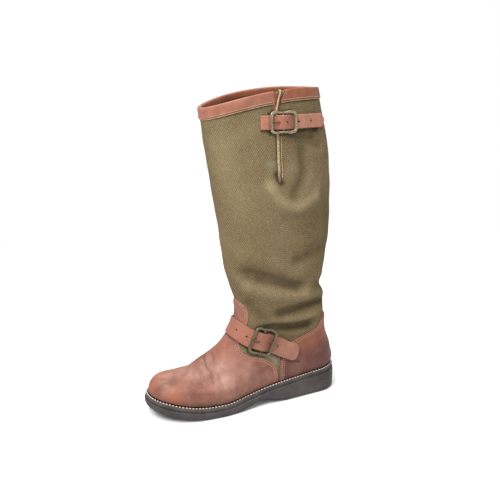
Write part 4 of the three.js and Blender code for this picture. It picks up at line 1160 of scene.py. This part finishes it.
def collar_band():
    turns = np.radians(np.linspace(BAND_OPEN_TO, 360 + BAND_OPEN_FROM, 240))
    per_rise = np.linalg.norm(face_frame(turns, np.ones(len(turns)))[1], axis=-1)
    inside = -UPPER_WALL - GAP

    first = np.clip(1 - (turns - turns[0]) / 0.3, 0, 1)

    def at(below, off, lift):
        slant = math.radians(7) * first * (1 - below / BAND_WIDTH)
        point = skin(turns + slant, 1 - below / per_rise, np.full(1, off))
        point[:, 2] += lift
        return point

    under = [at(BAND_WIDTH * k / 8, GAP, 0) for k in range(8, 0, -1)]
    over = [at(BAND_WIDTH, GAP + BAND_THICKNESS * 0.3, 0)]
    over += [at(BAND_WIDTH - 0.5, GAP + BAND_THICKNESS * 0.85, 0)]
    over += [at(BAND_WIDTH * k / 8, GAP + BAND_THICKNESS, 0) for k in range(7, 1, -1)]
    middle = (GAP + inside) / 2
    for angle in (0, 30, 60, 90, 120, 150, 180):
        c, s = math.cos(math.radians(angle)), math.sin(math.radians(angle))
        under.append(at(0, middle + (GAP - middle) * c, GAP * (0.4 + s)))
        over.append(at(0, middle + (GAP + BAND_THICKNESS - middle) * c, (GAP + BAND_THICKNESS) * s))
    for k in (1, 2, 3):
        under.append(at(BAND_TURN_IN * k / 3, inside, 0))
        over.append(at(BAND_TURN_IN * k / 3, inside - BAND_THICKNESS, 0))
    points, faces = slab(np.array(under), np.array(over))
    # painted shade at the band's end by the gusset and where it turns away at the back
    dark = darkest(
        0.05,
        0.6 * line_fade(points, [(100, 1.0), (98.5, 0.985), (97, 0.97)], 2),
        0.75 * line_fade(points, [(158, 1.0), (158, 0.985), (158, 0.97)], 8),
    )
    # painted sheen on the band's lit front
    haze = 0.3 * fading(points, [(turn, 0.98) for turn in (0, 20, 40, 60, 78, -20)], 30)
    values = {"dark": dark, "haze": haze}
    made = piece("collar_band_leather", points, faces, band_leather, "collar_band", values=values)
    edge = Path(np.degrees(turns), 1 - BAND_WIDTH / per_rise)
    stitch_along(
        "band_stitches", edge, 2.2, SEAM_PITCH, 2.7, SEAM_THREAD, rust_thread, GAP + BAND_THICKNESS,
        3, edge.end - 3,
    )
    along = np.linspace(edge.start + 1, edge.end - 1, 360)
    cord, ups, _ = edge.point(along, -0.6, GAP + 0.35)
    rings, sides = tube(cord, ups, np.full(len(cord), 0.6), np.full(len(cord), 0.5), 6, False)
    piece("band_piping", rings, sides, tan_thread)


collar_band()


def gusset():
    track = track_of(PIPING, 5)
    along = np.linspace(-PIPING_LENGTH, -20, 110)
    half = PIPING_WIDTH / 2
    across = half * np.array([-1, -0.86, -0.5, 0, 0.4, 0.75, 0.92, 1])
    bulge = np.array([0.1, 0.75, 1.3, 1.4, 1.2, 0.8, 0.4, 0.1])
    ragged = 0.3 * np.sin(along[:, None] * 1.9 + 2 * np.sin(along[:, None] * 0.37))
    under = track.point(along[:, None], across[None], GAP * 0.3)[0]
    over = track.point(along[:, None], across[None] + ragged, GAP + bulge[None] + ragged * 0.5)[0]
    points, faces = slab(under, over)
    # darker down one side and at its foot, painted shade, with random darker patches of the leather
    dark = 0.02 + 0.62 * smooth((-across[None] - ragged - 0.1) / 0.9)
    patches = np.sin(along[:, None] * 2.1 + 3 * np.sin(along[:, None] * 0.4))
    dark = dark + 0.35 * smooth(patches * 2 - 0.6)
    dark = np.maximum(dark, 0.8 * smooth((22 - PIPING_LENGTH - along[:, None]) / 16))
    dark = np.tile(dark.ravel(), 2)
    made = piece("gusset_edge", points, faces, facing_leather, "gusset_piping", values={"dark": dark})
    foot = 16 - PIPING_LENGTH
    stitch_along("gusset_stitches", track, -1.2, 3.0, 1.7, 0.35, tan_thread, GAP + 1.0, foot, -30)
    second = track_of([(90.6, 0.93), (88.2, 0.9), (85.6, 0.845)], 0)
    stitch_along("gusset_second_row", second, 0, 3.0, 2.5, 0.62, tan_thread, 0.3)
    # the leather facing seen between the band's ends, and the pale binding that loops over the rim
    spots = np.linspace(-38, -0.5, 14)
    toward_rim = smooth((spots + 30) / 30)[:, None]
    wide = np.linspace(-1, 1, 9)[None] * (3.2 + 4.2 * toward_rim) + 1 - 2.4 * toward_rim
    under, over = (track.point(spots[:, None], wide, off)[0] for off in (0.05, 0.75))
    points, faces = slab(under, over)
    # painted shade on the facing, which sits back between the band's ends, darkest on one side
    dark = np.tile((0.3 + 0.4 * smooth((-wide - 2) / 3)).ravel(), 2)
    piece("gusset_facing", points, faces, band_leather, values={"dark": dark})
    line = [
        (-36, 1.2, 1.9), (-28, 1.0, 2.4), (-20, 0.0, 2.8), (-13, -1.4, 3.2), (-7, -3.2, 3.4),
        (-3, -4.6, 3.4), (0, -5.4, 3.0),
    ]
    fine = np.linspace(0, len(line) - 1, 40)
    index = np.arange(len(line))
    path, ups, _ = track.point(*(fair_curve(index, [row[k] for row in line])(fine) for k in range(3)))
    over_rim = np.array([[0, 0, 1.4], [-1.5, 0, 2.4], [-4, 0, 2.2], [-6, 0, 0.6]])
    path = np.concatenate([path, path[-1] + over_rim])
    ups = np.concatenate([ups, np.repeat([[0.2, 0, 1.0]], 4, 0)])
    wide = np.interp(np.linspace(0, 1, len(path)), [0, 0.4, 0.75, 1], [1.0, 1.2, 1.2, 1.2])
    rings, sides = tube(path, unit(ups), wide, np.full(len(path), 0.8), 10, False)
    piece("gusset_binding", rings, sides, facing_leather)
    # the bar tack: threads laid across the gusset's foot
    places, ups, headings = track.point(np.linspace(-1.5, 1.5, 7) - PIPING_LENGTH, 0, 0.9)
    stitch_row("bar_tack", places, ups, unit(np.cross(ups, headings)), 7.0, 0.5, dark_thread)


gusset()

# Straps, chapes, prongs and buckles

BAR_HEIGHT = GAP + CHAPE_THICKNESS + GAP + BAR_RADIUS
SIDE_BAR_HEIGHT = STRAP_SEAT + STRAP_THICKNESS + GAP + BAR_RADIUS
LOOP_RADIUS = BAR_RADIUS + GAP + CHAPE_THICKNESS / 2
HUMP = BAR_HEIGHT + LOOP_RADIUS + CHAPE_THICKNESS / 2 + GAP - STRAP_SEAT

ankle_track = track_of(ANKLE_STRAP, 7)
# Where along its path each strap begins and ends and has its holes, with the buckle's bar at 0
FASTENINGS = {
    "top": {
        "track": track_of(TOP_STRAP, 1), "width": TOP_STRAP_WIDTH, "buckle": TOP_BUCKLE_LENGTH,
        "from": TOP_STRAP_START, "to": TOP_STRAP_END, "start": GAP, "tip": TOP_STRAP_TIP,
        "round": False, "haze": 0.35, "tone_share": 0.0, "metal": brass_in_light,
        "holes": [TOP_FIRST_HOLE + k * TOP_HOLE_PITCH for k in (0, 1, 2)],
    },
    "ankle": {
        "track": ankle_track, "width": ANKLE_STRAP_WIDTH, "buckle": ANKLE_BUCKLE_LENGTH,
        "from": ankle_track.start + 1, "to": ANKLE_STRAP_END, "start": STRAP_SEAT, "tip": ANKLE_STRAP_TIP,
        # the ankle strap is drawn darker all over, painted shade
        "round": True, "haze": 0.3, "tone_share": 0.22, "metal": brass_in_shade,
        "holes": [ANKLE_FIRST_HOLE + k * ANKLE_HOLE_PITCH for k in (0, 1, 3, 4)],
    },
}


def hump_reach(f):
    return f["buckle"] / 2 - 2 * BAR_RADIUS - HUMP_CLEARANCE


def strap_height(f, along):
    seat = mix(f["start"], STRAP_SEAT, smooth((along - f["from"]) / STRAP_RAMP))
    u = np.minimum(np.abs(along) / hump_reach(f), 1)
    tail = smooth((along - f["buckle"] / 2 - 2) / (f["to"] - f["buckle"] / 2))
    return seat + HUMP * (1 - u * u) ** 2 + TAIL_LIFT * tail


def strap(name, f):
    track = f["track"]
    tip_from = f["to"] - f["tip"]
    tip = f["to"] - f["tip"] * np.linspace(1, 0, 14)
    along = np.concatenate([np.arange(f["from"], tip_from, 1.3), tip])
    left = np.clip((f["to"] - along) / f["tip"], 0, 1)
    if f["round"]:
        width = np.maximum(np.sqrt(1 - (1 - left) ** 2), 0.05)
    else:
        width = np.maximum(0.12 + 0.88 * left, 0.12)
    width = width * f["width"] / 2
    s = np.array([-1, -0.985, -0.95, -0.9, -0.7, -0.45, -0.2, 0, 0.2, 0.45, 0.7, 0.9, 0.95, 0.985, 1])
    rounding = 0.3 + 0.7 * np.sqrt(np.clip(1 - ((np.abs(s) - 0.9) / 0.1).clip(0, 1) ** 2, 0, 1))
    height = strap_height(f, along)[:, None]
    across = width[:, None] * s[None]
    first = smooth((along - f["from"]) / 1.2)[:, None] * 0.6 + 0.4
    last = smooth((f["to"] - along) / 1.2)[:, None] * 0.6 + 0.4
    under = track.point(along[:, None], across, height)[0]
    over = track.point(along[:, None], across, height + STRAP_THICKNESS * rounding[None] * first * last)[0]
    points, faces = slab(under, over)
    reach = np.tile(np.repeat(along, len(s)), 2)
    inside = smooth((f["buckle"] / 2 - np.abs(reach)) / 4)
    outside = np.abs(reach) > f["buckle"] / 2 - 5
    sides = np.concatenate([under, over]) - np.tile(track.point(along[:, None], 0.0, height)[0], (2, 1, 1))
    taper = np.repeat(np.tile(width, 2) / width.max(), len(s))
    below = sides[..., 2].ravel() < -0.46 * f["width"] * taper
    # painted shade inside the buckle's window, around the buckle, on the strap's lower side and in and
    # around its holes
    shades = [f["tone_share"] + 0.2 * inside, 0.6 * buckle_shade(points, f) * outside, 0.75 * below]
    for hole in f["holes"]:
        h = strap_height(f, np.array(float(hole)))
        centre = track.point(float(hole), 0.0, h + STRAP_THICKNESS / 2)[0]
        far = np.linalg.norm(points - centre, axis=1)
        shades.append(smooth((HOLE_RADIUS + 1.5 - far) / 1.5))
    haze = f["haze"] * smooth((reach - f["buckle"] / 2) / 4)
    values = {"dark": darkest(*shades), "haze": haze}
    made = piece(name + "_leather", points, faces, strap_leather, name, values=values)
    return made


def punch(made, f):
    """Cuts the strap's holes with round cutters."""
    for k, along in enumerate(f["holes"]):
        h = float(strap_height(f, np.array(float(along))))
        low, _, heading = f["track"].point(float(along), 0.0, h - 1.5)
        high = f["track"].point(float(along), 0.0, h + STRAP_THICKNESS + 1.5)[0]
        size = np.full(2, HOLE_RADIUS)
        rings, faces = tube(np.stack([low, high]), np.stack([heading, heading]), size, size, 20, False)
        mesh = mesh_of(f"cutter_{k}", rings, faces)
        turn_out(mesh)
        cutter = add(f"cutter_{k}", mesh)
        cut = made.modifiers.new(f"hole_{k}", "BOOLEAN")
        cut.operation = "DIFFERENCE"
        cut.solver = "EXACT"
        cut.object = cutter
        bpy.context.view_layer.update()
        seen = made.evaluated_get(bpy.context.evaluated_depsgraph_get())
        result = bpy.data.meshes.new_from_object(seen)
        made.modifiers.clear()
        made.data = result
        bpy.data.objects.remove(cutter)


def buckle_shade(points, f):
    """The dark outline around a buckle, wider below it, from 0 to 1."""
    ring = f["track"].point(*frame_path(f, 40)[:2], 1.0)[0]
    ring = np.concatenate([ring, ring[:1]]) - [0, 0, 1.2]
    shade = np.zeros(len(points))
    near = np.all((points > ring.min(0) - 12) & (points < ring.max(0) + 12), axis=1)
    far = line_distance(points[near], ring)[0]
    shade[near] = smooth((5.2 - far) / 2.4)
    return shade


def chape(name, f):
    low = GAP + CHAPE_THICKNESS / 2
    sewn = f["buckle"] / 2 + CHAPE_PAST_BUCKLE
    fold = hump_reach(f) / 2
    line = [(sewn * u, low) for u in np.linspace(1, 0, 12)]
    for degrees in range(250, 80, -10):
        angle = math.radians(degrees)
        line.append((LOOP_RADIUS * math.cos(angle), BAR_HEIGHT + LOOP_RADIUS * math.sin(angle)))
    second = low + CHAPE_THICKNESS + GAP
    for u in np.linspace(0.1, 1, 10):
        line.append((fold * u, mix(BAR_HEIGHT + LOOP_RADIUS, second, float(smooth(u)))))
    line = np.array(line)
    step = unit(np.gradient(line, axis=0))
    half = f["width"] / 2 - CHAPE_INSET
    across = half * np.array([-1, -0.96, -0.6, -0.2, 0.2, 0.6, 0.96, 1])
    soft = np.array([0.55, 1, 1, 1, 1, 1, 1, 0.55])
    grids = []
    for sign in (-1, 1):
        a = line[:, :1] - sign * step[:, 1:] * CHAPE_THICKNESS / 2 * soft[None]
        h = line[:, 1:] + sign * step[:, :1] * CHAPE_THICKNESS / 2 * soft[None]
        grids.append(f["track"].point(a, across[None], h)[0])
    points, faces = slab(*grids)
    made = piece(name + "_leather", points, faces, strap_leather, name, crease=50)


def prong(name, f):
    radius = BAR_RADIUS + GAP + PRONG_RADIUS
    spots = []
    for degrees in range(-150, 91, 15):
        angle = math.radians(degrees)
        spots.append((radius * math.cos(angle), BAR_HEIGHT + radius * math.sin(angle)))
    tip_at = f["buckle"] / 2 - BAR_RADIUS + PRONG_OVERHANG
    tip_height = SIDE_BAR_HEIGHT + BAR_RADIUS + GAP + PRONG_RADIUS
    for u in np.linspace(0.08, 1, 24):
        spots.append((-tip_at * u, mix(BAR_HEIGHT + radius, tip_height, u)))
    spots = np.array(spots)
    path = f["track"].point(spots[:, 0], 0.0, spots[:, 1])[0]
    side = f["track"].point(spots[:, 0], 1.0, spots[:, 1])[0] - path
    size = np.full(len(path), PRONG_RADIUS)
    size[-3:] *= (0.95, 0.8, 0.5)
    rings, faces = tube(path, unit(side), size * 0.9, size * 1.25, 12, False)
    made = piece(name + "_metal", rings, faces, brown_metal, name)


def frame_path(f, stations):
    half_long = f["buckle"] / 2 - BAR_RADIUS
    half_wide = f["width"] * BUCKLE_TO_STRAP / 2 - BAR_RADIUS
    angle = 2 * np.pi * (np.arange(stations) + 0.5) / stations
    share = np.sign(np.cos(angle)) * np.abs(np.cos(angle)) ** 0.3
    middle = (1 - share * share) ** 2
    bow = BAR_DIP * middle - 0.7 * np.exp(-(((np.abs(share) - 0.55) / 0.16) ** 2))
    reach = half_wide * np.abs(np.sin(angle)) ** 0.3 - bow
    height = mix(SIDE_BAR_HEIGHT, BAR_HEIGHT, middle)
    return half_long * share, np.sign(np.sin(angle)) * reach, height, middle


def buckle(name, f):
    a, b, h, middle = frame_path(f, 160)
    path, ups, _ = f["track"].point(a, b, h)
    thick = np.full(len(path), FRAME_RADIUS)
    rings, faces = tube(path, ups, 2.3 - 0.25 * middle, thick, 14, True)
    points = rings[:-1]
    faces = faces % (len(points) * 14)
    made = piece(name + "_frame", points, faces, f["metal"], name)
    ends = f["width"] * BUCKLE_TO_STRAP / 2 - BAR_RADIUS - BAR_DIP
    path, ups, _ = f["track"].point(0.0, np.linspace(-ends, ends, 16), BAR_HEIGHT)
    thick = np.full(16, FRAME_RADIUS)
    rings, faces = tube(path, ups, thick, thick, 12, False)
    piece(name + "_bar", rings, faces, f["metal"])


shaft()
for fastening, sizes in FASTENINGS.items():
    body = strap(fastening + "_strap", sizes)
    punch(body, sizes)
    chape(fastening + "_chape", sizes)
    prong(fastening + "_prong", sizes)
    buckle(fastening + "_buckle", sizes)

# The stitches that hold the top strap's sewn end
top = FASTENINGS["top"]
for side, across in (("low", -8.4), ("high", 8.4)):
    at = np.arange(-32, -22, 2.8)
    spots = top["track"].point(at, across, strap_height(top, at) + STRAP_THICKNESS)
    stitch_row(f"top_strap_stitches_{side}", *spots, 2.1, 0.34, rust_thread)

# The sole

SOLE_STEPS = 360
JOIN = 0.00002


def sole_ring(inset, height):
    """A ring of the sole's outline; the height is a lift over the sole's top or a function."""
    angle = 2 * np.pi * np.arange(SOLE_STEPS) / SOLE_STEPS
    across, forward = outline(angle, inset)
    level = height(forward) if callable(height) else sole_top(forward) + height
    return np.stack([across, HEEL_CENTRE - forward, level], -1)


def tread(cap):
    """Cuts wavy cross grooves into the underside, away from its edges."""
    forward = HEEL_CENTRE - cap[..., 1]
    share = np.linspace(0, 1, cap.shape[1])[None, :]
    edge = smooth(np.minimum(share, 1 - share) / 0.12)
    wave = forward + TREAD_WAVE * np.sin(cap[..., 0] / 7)
    groove = smooth((np.cos(2 * np.pi * wave / TREAD_PITCH) - 0.55) / 0.25)
    zones = [smooth((forward - a) / 6) * smooth((b - forward) / 6) for a, b in (HEEL_TREAD, FORE_TREAD)]
    cap = cap.copy()
    cap[..., 2] += TREAD_DEPTH * groove * edge * sum(zones)
    return cap


def outsole():
    top = -WELT_THICKNESS - GAP
    groove = top - GROOVE_HEIGHT

    def wall(share):
        return lambda f: mix(sole_under(f) + SOLE_BEVEL, sole_top(f) + groove, share)

    def bevel(angle):
        return lambda f: sole_under(f) + SOLE_BEVEL * (1 - math.cos(angle))

    profile = [(SOLE_BEVEL, sole_under)]
    for angle in np.radians((20, 40, 60, 80, 90)):
        profile.append((SOLE_BEVEL * (1 - math.sin(angle)), bevel(angle)))
    profile += [(-0.05, wall(0.15)), (-0.15, wall(0.5)), (0.0, wall(0.8)), (0.25, wall(0.95))]
    profile += [(0.7, groove), (GROOVE_DEPTH, top - 0.8 * GROOVE_HEIGHT), (GROOVE_DEPTH, top)]
    rings = [sole_ring(inset, height) for inset, height in profile]
    points, faces = ring_stack(np.array(rings), 48, tread)
    dark = 0.22 * smooth((-points[:, 1] - 190) / 60) + 0.14 * smooth((points[:, 1] + 30) / 50)
    made = piece("outsole_rubber", points, faces, sole_rubber, "outsole", values={"dark": dark})
    turn_out(made.data, JOIN)
    made.data.set_sharp_from_angle(angle=math.radians(45))


def welt():
    profile = [
        (WELT_INNER, -WELT_THICKNESS), (WELT_INSET + 0.9, -WELT_THICKNESS),
        (WELT_INSET + 0.2, 0.35 - WELT_THICKNESS), (WELT_INSET, 1.1 - WELT_THICKNESS),
        (WELT_INSET + 0.25, 2.3 - WELT_THICKNESS), (WELT_INSET, -1.4), (WELT_INSET + 0.25, -0.5),
        (WELT_INSET + 1.0, 0), (WELT_INSET + STITCH_LINE, -0.35), (WELT_INSET + 2.9, 0),
        (WELT_INSET + 4.1, 0), (WELT_INNER, 0),
    ]
    rings = np.array([sole_ring(inset, lift) for inset, lift in profile])
    faces = grid_faces(len(rings) + 1, SOLE_STEPS, closed=True) % (len(rings) * SOLE_STEPS)
    inset = np.repeat([row[0] for row in profile], SOLE_STEPS)
    # painted shadow on the welt's inner part under the leather's edge and in the stitch line's groove
    dark = np.where(inset > WELT_INSET + 2.5, smooth((inset - WELT_INSET - 2.9) / 1.2), 0.0)
    dark = darkest(dark, 0.8 * (np.abs(inset - WELT_INSET - STITCH_LINE) < 0.5))
    made = piece("welt_strip", rings, faces, welt_rubber, "welt", crease=50, values={"dark": dark})
    across, forward = outline(np.linspace(0, 2 * np.pi, 4001), WELT_INSET + STITCH_LINE)
    line = np.stack([across, HEEL_CENTRE - forward, sole_top(forward) - 0.1], -1)
    lengths = milestones(line)
    at = np.arange(0, lengths[-1], WELT_STITCH_PITCH)
    centres, ahead = (
        np.stack([np.interp(at + step, lengths, line[:, k]) for k in range(3)], -1) for step in (0, 0.5)
    )
    headings = unit(ahead - centres)
    ups = unit(np.cross(np.cross(headings, [0, 0, 1.0]), headings))
    stitch_row("welt_stitches", centres, ups, headings, WELT_STITCH, WELT_THREAD, pale_thread, 0.45)


def insole():
    edge = WELT_INNER + GAP
    profile = [
        (edge, -WELT_THICKNESS), (edge, INSOLE_RISE - 1), (edge + 0.3, INSOLE_RISE - 0.3),
        (edge + 1, INSOLE_RISE),
    ]
    points, faces = ring_stack(np.array([sole_ring(inset, lift) for inset, lift in profile]), 6)
    made = piece("insole_board", points, faces, lining, "insole")
    turn_out(made.data, JOIN)


outsole()
welt()
insole()

# Floor, light and camera


def floor():
    corners = np.array([(-1, -1, 0), (1, -1, 0), (1, 1, 0), (-1, 1, 0)]) * FLOOR_RADIUS / MM
    mesh = mesh_of("floor", corners, [np.array([[0, 1, 2, 3]])])
    s = Shader("floor_paper")
    grain = s.noise(3, 2)
    shade = s.mix(s.span(grain, 0.3, 0.7), tone(206, 206, 206, 1), tone(212, 212, 212, 1))
    mesh.materials.append(s.finish(Base_Color=shade, Roughness=0.9, Specular_IOR_Level=0.1))
    made = add("floor", mesh)


def lamp(name, place, aim, size, power):
    data = bpy.data.lights.new(name, "AREA")
    data.shape = "DISK"
    data.size = size
    data.energy = power
    made = add(name, data)
    made.location = place
    made.rotation_euler = (Vector(aim) - Vector(place)).to_track_quat("-Z", "Y").to_euler()


floor()
lamp("key", (0.7, -1.3, 1.7), (0, -0.1, 0.2), 1.1, 62)
lamp("overhead", (0.0, -0.2, 2.2), (0, -0.1, 0.1), 1.6, 46)
lamp("fill", (1.4, 0.9, 0.7), (0, -0.1, 0.2), 1.2, 6)
world = bpy.data.worlds.new("studio")
world.use_nodes = True
background = world.node_tree.nodes["Background"]
background.inputs[0].default_value = (1, 1, 1, 1)
background.inputs[1].default_value = 1.0
bpy.context.scene.world = world
bpy.context.scene.view_settings.view_transform = "Standard"

camera_data = bpy.data.cameras.new("camera")
camera_data.lens = 50.4
camera_data.sensor_width = 36
camera_data.clip_start = 0.01
camera = add("camera", camera_data)
camera.location = (0.9103, -0.5514, 0.5004)
camera.rotation_euler = Vector((-0.867, 0.43093, -0.25021)).to_track_quat("-Z", "Y").to_euler()
bpy.context.scene.camera = camera

bpy.context.view_layer.update()
